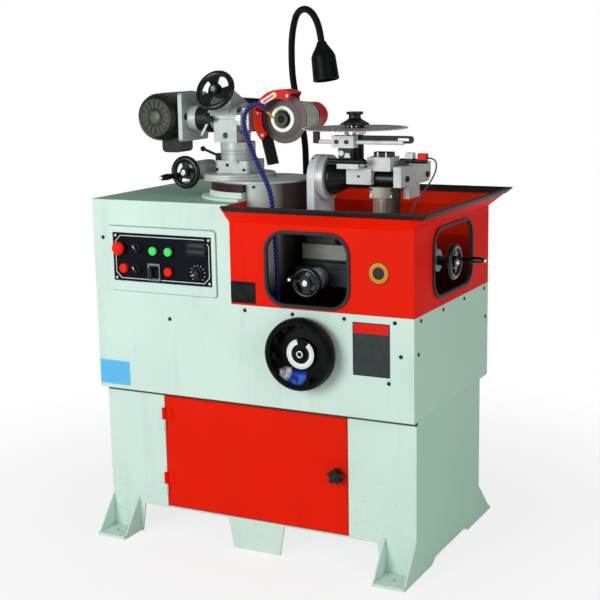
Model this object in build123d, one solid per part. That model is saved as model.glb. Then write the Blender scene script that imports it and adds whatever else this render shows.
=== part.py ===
from build123d import *
import os
from math import asin, atan2, cos, degrees, pi, radians, sin, sqrt, tan

# Saw blade sharpening machine, in millimetres.
# Origin on the floor at the centre of the anchor holes, +X right, +Y to the rear, +Z up.

# Cabinet
cabinet_width = 900
cabinet_depth = 522
deck_height = 402
upper_height = 503
sheet = 3
plate = 4
bed_plate = 12
lower_inset = 5
lower_front_setback = 26
lower_rear_setback = 45
floor_opening_margin = 60

# Feet
foot_height = 98
front_foot_reach = 78
rear_foot_reach = 97
front_foot_length = 180
rear_foot_length = 180
foot_relief = 14
foot_pad = 8
foot_width = 84
anchor_radius = 8
anchor_inset_x = 40
anchor_inset_y = 43
skirt_height = 84
leg_width = 92
leg_slope = 13
tab_top_half = 82
tab_bottom_half = 68

# Door
door_left = -266
door_right = 262
door_depth = 18
door_sheet = 2.5
door_gap = 2
door_rim = 22
door_knuckle_radius = 5
door_pin_radius = 2.5
door_knuckle_length = 30
door_hinge_inset = 62
door_hinge_leaf = 20
door_stop_depth = 23
door_stop_height = 34
jamb_offset = 12
knob_inset = 26
knob_rise = 155
knob_radius = 20
knob_lobes = 5
knob_height = 16
knob_stem_radius = 6
latch_length = 42
latch_width = 14
latch_thickness = 4
latch_gap = 1
keeper_height = 40

# Splash tray
tray_left = -40
tray_rise = 254
tray_wall = 2.5
tray_floor = 3
flare_drop = 43
flare_height = 42
flare_out = 46
lip_bead = 3
lip_bead_height = 12
front_window_x = 172
front_window_rise = 98
front_window_w = 218
front_window_h = 176
front_window_corner = 48
side_window_y = -6
side_window_rise = 108
side_window_w = 268
side_window_h = 164
side_window_corner = 46
trim_width = 6
trim_overlap = 2
trim_proud = 4

# Control panel, with its controls placed from the panel's centre
panel_x = -239
panel_rise = 356
panel_w = 294
panel_h = 124
panel_thickness = 4
panel_ledge = 6
panel_gap = 1
frame_left_margin = 16
frame_right_margin = 12
frame_bottom_margin = 27
frame_top_margin = 17
frame_proud = 5
frame_corner = 8
display_place = (91, 30)
display_w = 86
display_h = 48
display_proud = 3
pilot_place = (-115, -29)
pilot_radius = 12
pilot_proud = 6
estop_place = (-124, 23)
estop_radius = 17
estop_stem = 11
estop_head = 16
estop_gap = 8
mode_place = (-71, 26)
cycle_place = (-74, -29)
selector_radius = 11
selector_stem = 7
selector_handle_width = 7
selector_handle_proud = 9
selector_rest = 125
start_place = (-22, 20.5)
wheel_start_place = (24, 20.5)
stop_place = (22, -31)
button_radius = 11
button_stem = 8
button_bezel = 14
bezel_proud = 4
button_proud = 7
button_travel = 3
main_switch_place = (-23, -35)
main_switch_plate_w = 36
main_switch_plate_h = 44
main_switch_plate = 3
main_switch_radius = 14
main_switch_handle_width = 10
main_switch_handle_proud = 14
speed_knob_place = (106, -31)
speed_knob_radius = 15
speed_knob_height = 16
stem_depth = 10

# Working plane and column
work_y = -50
column_x = -50
column_radius = 124
column_wall = 12
column_rise = 41
column_clear = 2
ring_low_radius = 166
ring_low_height = 7
ring_high_radius = 146
ring_high_height = 14
seal_radius = 141
seal_gap = 1

# Clearances
slide_gap = 0.3
running_fit = 0.05
fixed_fit = 0.02

# Head base and swivel
swivel_x = -130
swivel_radius = 97
base_plate = 5
base_disc = 12
base_plate_radius = 121
worm_radius = 7
worm_shaft_radius = 8
worm_rise = 5
worm_bracket_width = 42
worm_bracket_height = 46
worm_bracket_front_reach = 62
worm_bracket_rear_reach = 28
worm_bracket_corner = 14
swivel_wheel_reach = 94
swivel_wheel_radius = 43
swivel_handle_angle = 196
swivel_block_left = 46
swivel_block_right = 56
swivel_block_depth = 92
swivel_block_height = 33
swivel_block_corner = 10
swivel_ring_radius = 46
swivel_ring_low = 24
swivel_ring_high = 22
ring_groove = 2
carrier_left = 50
carrier_right = 18
carrier_depth = 74
carrier_hole_radius = 8
carrier_hole_shift = 16
carrier_hole_rise = 18

# Tilting head
tube_radius = 24
housing_radius = 31
housing_left_reach = 65
flange_radius = 40
flange_thickness = 13
clamp_ring_radius = 36
clamp_ring_width = 16
clamp_ring_gap = 5
boss_radius = 33
boss_length = 52
motor_plate_thickness = 12
motor_plate_front_reach = 50
motor_plate_rear_reach = 80
motor_plate_height = 126
motor_plate_corner = 8
tilt_worm_slope = 26
tilt_worm_offset = 47
tilt_worm_shift = 38
tilt_housing_half = 31
tilt_housing_front = 38
tilt_housing_rear = 42
tilt_housing_top = 68
tilt_housing_corner = 6
tilt_wheel_reach = 72
tilt_wheel_radius = 55
arm_width = 18
arm_length = 54
arm_height = 56
arm_web = 46
lever_rod_radius = 3.5
lever_length = 48
lever_slope = 30
lever_bar_radius = 5
lever_bar_length = 26
tilt_lever_hub = 8
tilt_lever_boss = 9
tilt_lever_boss_proud = 7
swivel_lever_hub = 7
swivel_lever_inset = 7.5
swivel_lever_ball = 7

# Motor and belt
motor_radius = 63
motor_rise = 4
motor_length = 184
motor_fan_length = 50
motor_shield = 12
motor_groove = 3
motor_foot = 72
motor_foot_setback = 20
motor_gap = 2
fan_face_radius = 49
fan_slots = 16
fan_slot_width = 4
fan_slot_depth = 3
motor_shaft_radius = 9
motor_shaft_length = 108
terminal_w = 60
terminal_d = 58
terminal_h = 40
terminal_lap = 8
terminal_shift = 18
terminal_setback = 48
terminal_corner = 12
motor_pulley_radius = 40
spindle_pulley_radius = 28
pulley_width = 18
belt_width = 14
belt_thickness = 4
belt_gap = 0.4
belt_inset = 4
belt_cover_depth = 26
belt_cover_wall = 3
motor_cover_radius = 52
spindle_cover_radius = 37
cap_radius = 36
cap_depth = 47

# Spindle, wheel and guard
wheel_x = 8
wheel_radius = 62.5
wheel_width = 12
wheel_rim_width = 6
wheel_bore = 10
wheel_drop = 21
spindle_radius = 15
spindle_setback = 32
spindle_housing_radius = 36
spindle_housing_length = 92
spindle_flange = 6
shoulder_radius = 30
shoulder_gap = 2
wheel_flange_radius = 33.5
wheel_flange_thickness = 5
wheel_nut_radius = 21
wheel_nut_length = 7
guard_radius = 75
guard_inner = 52
guard_sheet = 2.5
guard_front_reach = 28
guard_start = 62
guard_split = 158
guard_split_half = 3
guard_end = 226
flap_thickness = 5
flap_length = 70
flap_slope = 14
flap_lap = 6

# Blade and clamp
blade_radius = 132
blade_thickness = 2.2
blade_rise = 124
blade_teeth = 60
tooth_depth = 8
blade_gap = 7.1
blade_hole_circle = 62
blade_hole_radius = 6
arbor_radius = 15
arbor_boss_radius = 22
arbor_flange_radius = 27
arbor_flange = 14
arbor_flange_gap = 2
arbor_seat = 5
arbor_thread_radius = 11
arbor_thread_length = 38
clamp_base_radius = 36
clamp_neck_radius = 15
clamp_top_radius = 21
clamp_height = 39
clamp_notches = 6

# Blade holder, with heights above and below the tilt axis
tilt_rise = 133.4
bar_radius = 20
bar_hub_radius = 43
bar_hub_length = 54
tilt_disc_radius = 57
tilt_disc_thickness = 22
post_thickness = 21
post_width = 115
post_from_blade = 108
post_foot = 14
post_rib_width = 28
post_rib_length = 46
slider_left = 8.5
slider_right = 58.5
slider_half = 36
slider_below = 12
slider_above = 28
strip_height = 12
strip_left = 22
strip_right = 36
step_left = 44
step_right = 107
step_front_inset = 8
step_rear_inset = 6
step_height = 34
guide_left = 35
guide_right = 24
guide_front_reach = 62
guide_rear_reach = 34
guide_rise = 79
guide_height = 30
guide_post_left = 20
guide_post_right = 14
guide_post_half = 8
clamp_rod_radius = 7
clamp_rod_left = 48
clamp_rod_right = 40
clamp_rod_reach = 55
clamp_ball_radius = 10
pad_left = 60
pad_height = 13
pawl_rod_radius = 5
pawl_rod_reach = 48
pawl_rod_rise = 93
pawl_rod_left = 86
pawl_rod_right = 150
pawl_bar_left = 38
pawl_bar_right = 171
pawl_bar_reach = 40
pawl_bar_thickness = 8
pawl_bar_height = 18
pawl_slot_length = 32
pawl_slot_width = 7
pawl_lug_width = 14
pawl_finger_width = 14
pawl_finger_gap = 4
bracket_from_blade = 120
bracket_thickness = 20
bracket_front_reach = 40
bracket_rear_reach = 158
bracket_below = 17
bracket_above = 33
bracket_foot_below = 49
bracket_foot_front = 11
bracket_foot_rear = 81
bracket_chamfer = 14
pedestal_width = 24
sensor_rod_radius = 6
sensor_rod_length = 44
sensor_rise = 46
sensor_block_w = 20
sensor_block_d = 20
sensor_block_h = 20
sensor_block_gap = 12
sensor_w = 22
sensor_d = 18
sensor_h = 15
gearbox_w = 66
gearbox_d = 50
gearbox_h = 25
gearbox_lap = 2
gear_motor_radius = 34
gear_motor_length = 76
gear_motor_ribs = 18
gear_motor_shift = 10
gear_motor_from_blade = 85
gland_length = 7
gland_radius = 4.5

# Slides below the holder
front_wheel_x = 165
front_wheel_rise = 151
front_wheel_radius = 90
front_wheel_depth = 50
front_wheel_gap = 2
front_wheel_hub = 38
front_dish_floor = 14
front_hub_face = 26
finger_bumps = 11
finger_bump_radius = 12
lift_shaft_radius = 8
lift_bush_wall = 8
lift_bush_length = 30
lift_worm_radius = 12
lift_worm_length = 72
lift_gear_radius = 34
lift_gear_width = 16
lift_screw_radius = 12
lift_screw_seat = 8
lift_post_radius = 38
lift_post_clear = 3
lift_sleeve_radius = 50
lift_sleeve_length = 78
lift_post_below = 60
lift_travel = 14
lift_clear = 23
bed_height = 42
bed_left_reach = 131
bed_right_reach = 119
bed_front_reach = 100
bed_rear_reach = 140
bed_corner = 10
dovetail_height = 12
dovetail_half = 60
dovetail_undercut = 9
saddle_right_reach = 191
saddle_half = 60
saddle_height = 55
carriage_left = 116
carriage_right = 28
carriage_half = 58
carriage_height = 30
carriage_dovetail_half = 40
cross_offset = 61
cross_rise = 19
screw_radius = 9
screw_end = 30
collar_radius = 28
collar_step = 16
collar_length = 24
collar_gap = 2
cross_wheel_reach = 70
cross_wheel_radius = 40
cross_grip_length = 28
cross_handle_angle = 160
long_rise = 22.5
long_wheel_reach = 66
long_wheel_radius = 45
long_hub_rear = 18
long_handle_angle = 90
grip_length = 62
grip_radius = 8.5

# Lamp, with its route's heights above the cabinet top
lamp_radius = 9.3
lamp_base_radius = 26
lamp_base_height = 12
lamp_head_radius = 35
lamp_head_length = 72
lamp_neck_length = 30
lamp_neck_radius = 12
lamp_socket = 10
lamp_recess = 14
lamp_wall = 3
lamp_route = [
    (-73, 228, lamp_base_height),
    (-73, 228, 60),
    (-75, 228, 125),
    (-90, 228, 195),
    (-105, 228, 262),
    (-111, 228, 307),
    (-111, 226, 357),
    (-107, 222, 406),
    (-92, 214, 455),
    (-73, 203, 473),
    (-50, 192, 478),
    (-28, 182, 470),
    (-9, 174, 451),
    (8, 164, 418),
    (15, 160, 379),
]

# Coolant hose, with its route's heights above the tray floor
hose_radius = 6.5
hose_neck_radius = 4.9
hose_bore = 3
hose_pitch = 12.4
nozzle_length = 22
nozzle_radius = 4.5
hose_route = [
    (62, -206, 0),
    (62, -206, 56),
    (62, -209, 116),
    (60, -212, 176),
    (58, -214, 231),
    (47, -206, 276),
    (22, -190, 309),
    (-6, -174, 343),
    (-32, -156, 375),
    (-54, -139, 405),
    (-70, -124, 437),
    (-68, -115, 467),
    (-46, -111, 485),
    (-22, -109, 481),
    (-9, -107, 465),
]

# Sensor cable, from the sensor's end face and the middle of its rod
cable_radius = 2
cable_route = [
    (0, 0, 8),
    (16, 0, 8),
    (25, 0, -4),
    (23, 0, -22),
    (14, 0, -41),
    (0, 1, -62),
    (-19, 2, -88),
    (-38, 3, -113),
    (-48, 4, -134),
    (-57, 4, -143),
]

# Values worked out from the sizes above
half_width = cabinet_width / 2
front_y = -cabinet_depth / 2
rear_y = cabinet_depth / 2
cabinet_top = deck_height + upper_height
lower_half = half_width - lower_inset
lower_front = front_y + lower_front_setback
lower_rear = rear_y - lower_rear_setback
foot_front = lower_front - front_foot_reach
foot_rear = lower_rear + rear_foot_reach
anchor_x = lower_half - anchor_inset_x
leg_inner_x = lower_half - leg_width
door_bottom = skirt_height + door_gap
door_top = deck_height - bed_plate - door_gap
knob_x = door_right - knob_inset
knob_z = door_bottom + knob_rise
hinge_x = door_left - door_gap
hinge_y = lower_front - door_knuckle_radius
jamb_left = hinge_x - jamb_offset
jamb_right = door_right + door_gap + jamb_offset
tray_bottom = deck_height + tray_rise
tray_floor_z = tray_bottom + tray_floor
flare_start = cabinet_top - flare_drop
tray_top = flare_start + flare_height
front_window_z = tray_bottom + front_window_rise
side_window_z = tray_bottom + side_window_rise
panel_z = deck_height + panel_rise
panel_left = panel_x - panel_w / 2
panel_right = panel_x + panel_w / 2
panel_bottom = panel_z - panel_h / 2
panel_top = panel_z + panel_h / 2
panel_face = front_y - panel_thickness
column_top = cabinet_top + column_rise
head_base_top = column_top + base_plate + base_disc
worm_x = swivel_x - swivel_radius - worm_radius
worm_z = head_base_top + worm_rise
worm_bracket_front = work_y - worm_bracket_front_reach
worm_bracket_rear = work_y + worm_bracket_rear_reach
swivel_wheel_y = work_y - swivel_wheel_reach
swivel_bottom = head_base_top + slide_gap
block_top = swivel_bottom + swivel_block_height
ring_top = block_top + swivel_ring_low + swivel_ring_high
lift_x = front_wheel_x + lift_worm_radius + lift_gear_radius
front_wheel_z = deck_height + front_wheel_rise
bed_z0 = tray_floor_z + lift_travel + lift_clear
bed_z1 = bed_z0 + bed_height
bed_left = lift_x - bed_left_reach
bed_right = lift_x + bed_right_reach
bed_front = work_y - bed_front_reach
bed_rear = work_y + bed_rear_reach
saddle_left = bed_left
saddle_right = lift_x + saddle_right_reach
saddle_z0 = bed_z1 + slide_gap
saddle_z1 = saddle_z0 + saddle_height
saddle_y0 = work_y - saddle_half
saddle_y1 = work_y + saddle_half
carriage_z0 = saddle_z1 + slide_gap
carriage_z1 = carriage_z0 + carriage_height
cross_x = lift_x - cross_offset
cross_z = bed_z0 + cross_rise
cross_wheel_y = bed_front - cross_wheel_reach
long_z = saddle_z0 + long_rise
long_wheel_x = saddle_right + long_wheel_reach
tilt_z = carriage_z1 + tilt_rise
blade_z = tilt_z + blade_rise
blade_low = blade_z - blade_thickness / 2
blade_top = blade_z + blade_thickness / 2
head_z = blade_z + wheel_drop
contact_half = sqrt(wheel_radius**2 - wheel_drop**2)
blade_x = wheel_x + contact_half + blade_radius + blade_gap
post_x0 = blade_x - post_from_blade
post_x1 = post_x0 + post_thickness
disc_x0 = post_x1 + slide_gap
disc_x1 = disc_x0 + tilt_disc_thickness
slider_front = work_y - slider_half
slider_rear = work_y + slider_half
slider_bottom = tilt_z - slider_below
slider_top = tilt_z + slider_above
strip_top = slider_top + strip_height
bar_top = tilt_z + bar_radius
guide_front = work_y - guide_front_reach
guide_rear = work_y - guide_rear_reach
guide_bottom = tilt_z + guide_rise
guide_top = guide_bottom + guide_height
pawl_rod_y = work_y - pawl_rod_reach
pawl_rod_z = tilt_z + pawl_rod_rise
pawl_bar_front = work_y - pawl_bar_reach
bracket_x0 = blade_x + bracket_from_blade
bracket_x1 = bracket_x0 + bracket_thickness
bracket_front = work_y - bracket_front_reach
bracket_rear = work_y + bracket_rear_reach
bracket_bottom = tilt_z - bracket_below
bracket_top = tilt_z + bracket_above
bracket_foot_bottom = tilt_z - bracket_foot_below
sensor_z = tilt_z + sensor_rise
sensor_x = bracket_x0 + 6 + sensor_rod_length
gear_motor_x = blade_x + gear_motor_from_blade
gear_motor_y = work_y - gear_motor_shift
gland_x = gear_motor_x + gear_motor_radius + gland_length
gearbox_top = tilt_z - bar_radius
housing_left = swivel_x - housing_left_reach
housing_right = swivel_x + carrier_right
tilt_worm_x = swivel_x - tilt_worm_shift
clamp_ring_x = housing_left - clamp_ring_gap
plate_right = clamp_ring_x - clamp_ring_width - boss_length
plate_left = plate_right - motor_plate_thickness
motor_x = plate_left - motor_gap - motor_radius
motor_z = head_z + motor_rise
motor_plate_front = work_y - motor_plate_front_reach
motor_plate_rear = work_y + motor_plate_rear_reach
spindle_housing_front = work_y + spindle_setback
motor_rear = spindle_housing_front + spindle_housing_length
motor_front = motor_rear - motor_length
arm_rear = spindle_housing_front + arm_length
belt_front = motor_rear + belt_inset
belt_y0 = belt_front + (pulley_width - belt_width) / 2
cover_rear = motor_rear + belt_cover_depth
wheel_back = work_y + wheel_width / 2
wheel_front = work_y - wheel_width / 2
guard_front = work_y - guard_front_reach
lamp_points = [(x, y, cabinet_top + z) for x, y, z in lamp_route]
hose_points = [(x, y, tray_floor_z + z) for x, y, z in hose_route]
cable_points = [(sensor_x + sensor_w + x, work_y + y, sensor_z + z) for x, y, z in cable_route]
cable_points.append((gland_x, cable_points[-1][1], cable_points[-1][2]))


# Shape helpers
def block(x0, x1, y0, y1, z0, z1):
    return Pos((x0 + x1) / 2, (y0 + y1) / 2, (z0 + z1) / 2) * Box(x1 - x0, y1 - y0, z1 - z0)


def rod_x(radius, x0, x1, y, z):
    return Pos((x0 + x1) / 2, y, z) * Rot(0, 90, 0) * Cylinder(radius, x1 - x0)


def rod_y(radius, y0, y1, x, z):
    return Pos(x, (y0 + y1) / 2, z) * Rot(90, 0, 0) * Cylinder(radius, y1 - y0)


def rod_z(radius, z0, z1, x, y):
    return Pos(x, y, (z0 + z1) / 2) * Cylinder(radius, z1 - z0)


def across_x(sketch, x0, x1):
    # The sketch's axes are Y and Z
    return extrude(Plane.YZ.offset(x0) * sketch, x1 - x0)


def across_y(sketch, y0, y1):
    # The sketch's axes are X and Z
    return extrude(Plane.XZ.offset(-y1) * sketch, y1 - y0)


def up_z(sketch, z0, z1):
    return extrude(Pos(0, 0, z0) * sketch, z1 - z0)


def outline(*points):
    # A polygon with its corners put in counter-clockwise order
    area = sum(a[0] * b[1] - b[0] * a[1] for a, b in zip(points, points[1:] + points[:1]))
    if area < 0:
        points = points[::-1]
    return Polygon(*points, align=None)


def turned(*points):
    # A profile of radius and height, turned about Z
    return revolve(Plane.XZ * outline(*points), Axis.Z)


def facing_front(x, y, z):
    return Pos(x, y, z) * Rot(90, 0, 0)


def facing_right(x, y, z):
    return Pos(x, y, z) * Rot(0, 90, 0)


def link_outline(x0, z0, r0, x1, z1, r1):
    # Two circles and their common outer tangents
    span = sqrt((x1 - x0)**2 + (z1 - z0)**2)
    bearing = atan2(z1 - z0, x1 - x0)
    lean = asin((r0 - r1) / span)
    corners = []
    for side, x, z, radius in ((1, x0, z0, r0), (1, x1, z1, r1), (-1, x1, z1, r1), (-1, x0, z0, r0)):
        angle = bearing + side * (pi / 2 - lean)
        corners.append((x + radius * cos(angle), z + radius * sin(angle)))
    return outline(*corners) + Pos(x0, z0) * Circle(r0) + Pos(x1, z1) * Circle(r1)


def ring_sector(inner, outer, start, end):
    reach = 2 * outer
    middle = (start + end) / 2
    angles = (start, (start + middle) / 2, middle, (middle + end) / 2, end)
    rays = [(reach * cos(radians(a)), reach * sin(radians(a))) for a in angles]
    return (Circle(outer) - Circle(inner)) & outline((0, 0), *rays)


def handwheel(radius, rim, hub_radius, hub_front, hub_rear, shaft, first_window=90, spokes=3):
    # Rim, web with windows between the spokes, and hub, with the face towards +Z
    web = rim * 0.8
    wheel = Torus(radius - rim, rim) + Cylinder(radius - rim, web)
    half = 180 / spokes - 26
    window = ring_sector(hub_radius + 4, radius - 1.8 * rim, -half, half)
    window = fillet(window.vertices(), 4)
    for index in range(spokes):
        wheel -= Rot(0, 0, first_window + 360 / spokes * index) * extrude(Pos(0, 0, -web) * window,
                                                                          2 * web)
    hub = Pos(0, 0, (hub_front - hub_rear) / 2) * Cylinder(hub_radius, hub_front + hub_rear)
    return wheel + hub - Cylinder(shaft + fixed_fit, 4 * (hub_front + hub_rear))


def grip(length, radius):
    # A turned crank handle, standing on +Z
    return turned((0, 0), (0.55 * radius, 0), (0.6 * radius, 4), (0.8 * radius, 9),
                  (radius, length * 0.55),
                  (0.85 * radius, length - 8), (0.6 * radius, length - 2), (0.4 * radius, length),
                  (0, length))


def crank_wheel(radius, rim, hub_radius, hub_front, hub_rear, shaft, handle_angle, handle=grip_length,
                first_window=90):
    wheel = handwheel(radius, rim, hub_radius, hub_front, hub_rear, shaft, first_window)
    spot = Rot(0, 0, handle_angle) * Pos(radius - rim, 0, rim * 0.7)
    return wheel + spot * grip(handle, grip_radius)


def corner_radii(points):
    # The largest radius that each corner's two runs allow
    radii = []
    for before, corner, after in zip(points, points[1:], points[2:]):
        run_in = Vector(*corner) - Vector(*before)
        run_out = Vector(*after) - Vector(*corner)
        turn = radians(run_in.get_angle(run_out))
        radii.append(0.45 * min(run_in.length, run_out.length) / tan(turn / 2))
    return radii


def tube(name, points, radius):
    radii = corner_radii(points)
    path = FilletPolyline(*points, radius=radii)
    solid = sweep(Plane(origin=path @ 0, z_dir=path % 0) * Circle(radius), path)
    wanted = pi * radius**2 * path.length
    print(name, "length", round(path.length), "least radius", round(min(radii)),
          "volume ratio", round(solid.volume / wanted, 4))
    return solid, path


# Cabinet
def lower_cabinet():
    top = deck_height - bed_plate
    side = outline((lower_front, top), (lower_front, foot_height), (foot_front, 0),
                   (foot_front + front_foot_length, 0),
                   (foot_front + front_foot_length + 2 * foot_relief, foot_relief),
                   (foot_rear - rear_foot_length - 2 * foot_relief, foot_relief),
                   (foot_rear - rear_foot_length, 0), (foot_rear, 0), (lower_rear, foot_height),
                   (lower_rear, top))
    legs = outline((-lower_half, 0), (-lower_half, top), (lower_half, top), (lower_half, 0),
                   (leg_inner_x, 0), (leg_inner_x - leg_slope, skirt_height),
                   (-leg_inner_x + leg_slope, skirt_height), (-leg_inner_x, 0))
    body = across_x(side, -lower_half, -lower_half + plate) + across_x(side, lower_half - plate,
                                                                       lower_half)
    body += across_y(legs, lower_front, lower_front + plate)
    body += across_y(legs, lower_rear - plate, lower_rear)
    body -= block(hinge_x, door_right + door_gap, lower_front - 1, lower_front + plate + 1,
                  skirt_height - 1, door_top + door_gap)
    body += block(-lower_half, lower_half, lower_front, lower_rear, top, deck_height)
    # Bottom pan, with the rail that the door closes on and the centre tab under it
    pan_z = skirt_height - plate
    body += block(-leg_inner_x + leg_slope, leg_inner_x - leg_slope, lower_front, lower_rear, pan_z,
                  skirt_height)
    stop_y = lower_front + door_stop_depth
    body += block(jamb_left, jamb_right, stop_y, stop_y + plate, skirt_height,
                  skirt_height + door_stop_height)
    body += block(jamb_left, jamb_left + plate, lower_front, stop_y + plate, skirt_height, top)
    body += block(door_right + door_gap, jamb_right, lower_front, lower_front + door_depth,
                  knob_z - keeper_height / 2, knob_z + keeper_height / 2)
    tab = outline((-tab_top_half, pan_z), (tab_top_half, pan_z), (tab_bottom_half, 0),
                  (-tab_bottom_half, 0))
    body += across_y(tab, lower_front, lower_front + plate)
    # Foot gussets and pads with the anchor holes
    front_gusset = outline((lower_front, foot_height), (foot_front, 0), (lower_front, 0))
    rear_gusset = outline((lower_rear, foot_height), (foot_rear, 0), (lower_rear, 0))
    for side_sign in (-1, 1):
        inner = side_sign * (lower_half - foot_width)
        outer = side_sign * lower_half
        low, high = min(inner, outer), max(inner, outer)
        for gusset in (front_gusset, rear_gusset):
            body += across_x(gusset, inner - plate / 2, inner + plate / 2)
        body += block(low, high, foot_front, lower_front, 0, foot_pad)
        body += block(low, high, lower_rear, foot_rear, 0, foot_pad)
        for y in (foot_front + anchor_inset_y, foot_rear - anchor_inset_y):
            body -= rod_z(anchor_radius, -1, foot_pad + 1, side_sign * anchor_x, y)
    # Fixed hinge knuckles with their pins, on small leaves
    for z in (door_bottom + door_hinge_inset, door_top - door_hinge_inset):
        body += block(hinge_x - door_hinge_leaf, hinge_x, lower_front - 2, lower_front,
                      z - door_knuckle_length, z)
        body += rod_z(door_knuckle_radius, z - door_knuckle_length, z - slide_gap, hinge_x, hinge_y)
        body += rod_z(door_pin_radius, z - door_knuckle_length, z + door_knuckle_length - 4, hinge_x,
                      hinge_y)
    # Seat of the lift screw
    return body - rod_z(lift_screw_radius + running_fit, deck_height - lift_screw_seat, deck_height + 1,
                        lift_x, work_y)


def upper_cabinet():
    outer = outline((-half_width, deck_height), (half_width, deck_height), (half_width, tray_bottom),
                    (tray_left, tray_bottom), (tray_left, cabinet_top), (-half_width, cabinet_top))
    inner = outline((-half_width + sheet, deck_height + sheet), (half_width - sheet, deck_height + sheet),
                    (half_width - sheet, tray_bottom - sheet), (tray_left - sheet, tray_bottom - sheet),
                    (tray_left - sheet, cabinet_top - sheet), (-half_width + sheet, cabinet_top - sheet))
    body = across_y(outer, front_y, rear_y) - across_y(inner, front_y + sheet, rear_y - sheet)
    margin = floor_opening_margin
    body -= block(-half_width + margin, half_width - margin, front_y + margin, rear_y - margin - 30,
                  deck_height - 1, deck_height + sheet + 1)
    # Stepped ring round the column, on the white top
    low_top = cabinet_top + ring_low_height
    body += rod_z(ring_low_radius, cabinet_top, low_top, column_x, work_y)
    body += rod_z(ring_high_radius, low_top, low_top + ring_high_height, column_x, work_y)
    body -= block(tray_left, half_width, front_y + 1, rear_y - 1, tray_bottom, cabinet_top + 60)
    body -= rod_z(column_radius + column_clear, deck_height + 10, cabinet_top + 60, column_x, work_y)
    # Raised frame and opening of the control panel
    frame = block(panel_left - frame_left_margin, panel_right + frame_right_margin,
                  front_y - frame_proud, front_y,
                  panel_bottom - frame_bottom_margin, panel_top + frame_top_margin)
    frame = fillet(frame.edges().filter_by(Axis.Y), frame_corner)
    body += frame - block(panel_left - panel_gap, panel_right + panel_gap, front_y - frame_proud - 1,
                          front_y,
                          panel_bottom - panel_gap, panel_top + panel_gap)
    body -= block(panel_left + panel_ledge, panel_right - panel_ledge, front_y - 1, front_y + sheet + 1,
                  panel_bottom + panel_ledge, panel_top - panel_ledge)
    # Bush of the lift shaft, and the sleeve that guides the lift post
    bush_y1 = front_y + lift_bush_length
    body += rod_y(lift_shaft_radius + lift_bush_wall, front_y, bush_y1, front_wheel_x, front_wheel_z)
    body -= rod_y(lift_shaft_radius + running_fit, front_y - 1, bush_y1 + 1, front_wheel_x, front_wheel_z)
    body += rod_z(lift_sleeve_radius, tray_bottom - lift_sleeve_length, tray_bottom, lift_x, work_y)
    return body - rod_z(lift_post_radius + running_fit, tray_bottom - lift_sleeve_length - 1,
                        tray_bottom + 1, lift_x, work_y)


def tray_body(shrink, floor_z, left):
    # The tray's outer form drawn in by its wall
    x1, y0, y1 = half_width - shrink, front_y + shrink, rear_y - shrink
    box = block(left, x1, y0, y1, floor_z, flare_start)
    low = Pos((left + x1) / 2, 0, flare_start) * Rectangle(x1 - left, y1 - y0)
    wide = x1 + flare_out
    high = Pos((left + wide) / 2, 0, tray_top) * Rectangle(wide - left, y1 - y0 + 2 * flare_out)
    return box + loft([low, high], ruled=True)


def front_window(grow, y0, y1):
    shape = Pos(front_window_x, front_window_z) * RectangleRounded(
        front_window_w + 2 * grow, front_window_h + 2 * grow, front_window_corner + grow)
    return across_y(shape, y0, y1)


def side_window(grow, x0, x1):
    shape = Pos(side_window_y, side_window_z) * RectangleRounded(
        side_window_w + 2 * grow, side_window_h + 2 * grow, side_window_corner + grow)
    return across_x(shape, x0, x1)


def splash_tray():
    body = tray_body(0, tray_bottom, tray_left)
    hollow = tray_body(tray_wall, tray_floor_z, tray_left + tray_wall)
    body -= hollow
    body -= block(tray_left - 1, half_width + 2 * flare_out, front_y - 2 * flare_out,
                  rear_y + 2 * flare_out,
                  tray_top, tray_top + 10)
    body -= front_window(0, front_y - 1, front_y + 10)
    body -= side_window(0, half_width - 10, half_width + 1)
    body -= rod_z(column_radius + column_clear, tray_bottom - 1, tray_top + 1, column_x, work_y)
    return body - rod_z(lift_post_radius + lift_post_clear, tray_bottom - 1, tray_floor_z + 1, lift_x,
                        work_y)


def rubber_edging(tray):
    # Bead over the lip: a wider copy of the flare's top, hollowed, with the lip itself taken out
    lip_low = tray_top - lip_bead_height
    band = tray_body(-lip_bead, tray_bottom, tray_left) - tray_body(
        tray_wall + lip_bead, tray_bottom - 1, tray_left + tray_wall + lip_bead)
    band &= block(tray_left + tray_wall + lip_bead, 2 * cabinet_width, -cabinet_width, cabinet_width,
                  lip_low, tray_top)
    reach_x = half_width + flare_out + lip_bead
    reach_y = rear_y + flare_out + lip_bead
    inset = tray_wall + 2 * lip_bead
    cap = block(tray_left + tray_wall + lip_bead, reach_x, -reach_y, reach_y, tray_top,
                tray_top + lip_bead)
    cap -= block(tray_left, reach_x - inset, -reach_y + inset, reach_y - inset, tray_top - 1,
                 tray_top + 9)
    bead = band - tray + cap
    front_trim = front_window(trim_width, front_y - trim_proud, front_y + tray_wall + 2)
    front_trim -= front_window(-trim_overlap, front_y - 2 * trim_proud, front_y + 20)
    side_trim = side_window(trim_width, half_width - tray_wall - 2, half_width + trim_proud)
    side_trim -= side_window(-trim_overlap, half_width - 20, half_width + 2 * trim_proud)
    ring_z = cabinet_top + ring_low_height + ring_high_height
    seal = rod_z(seal_radius, ring_z, column_top - seal_gap, column_x, work_y)
    seal -= rod_z(column_radius + fixed_fit, ring_z - 1, column_top, column_x, work_y)
    seal -= block(tray_left, half_width, front_y, rear_y, ring_z - 1, column_top)
    return Compound(children=[bead, front_trim - tray, side_trim - tray, seal])


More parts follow.
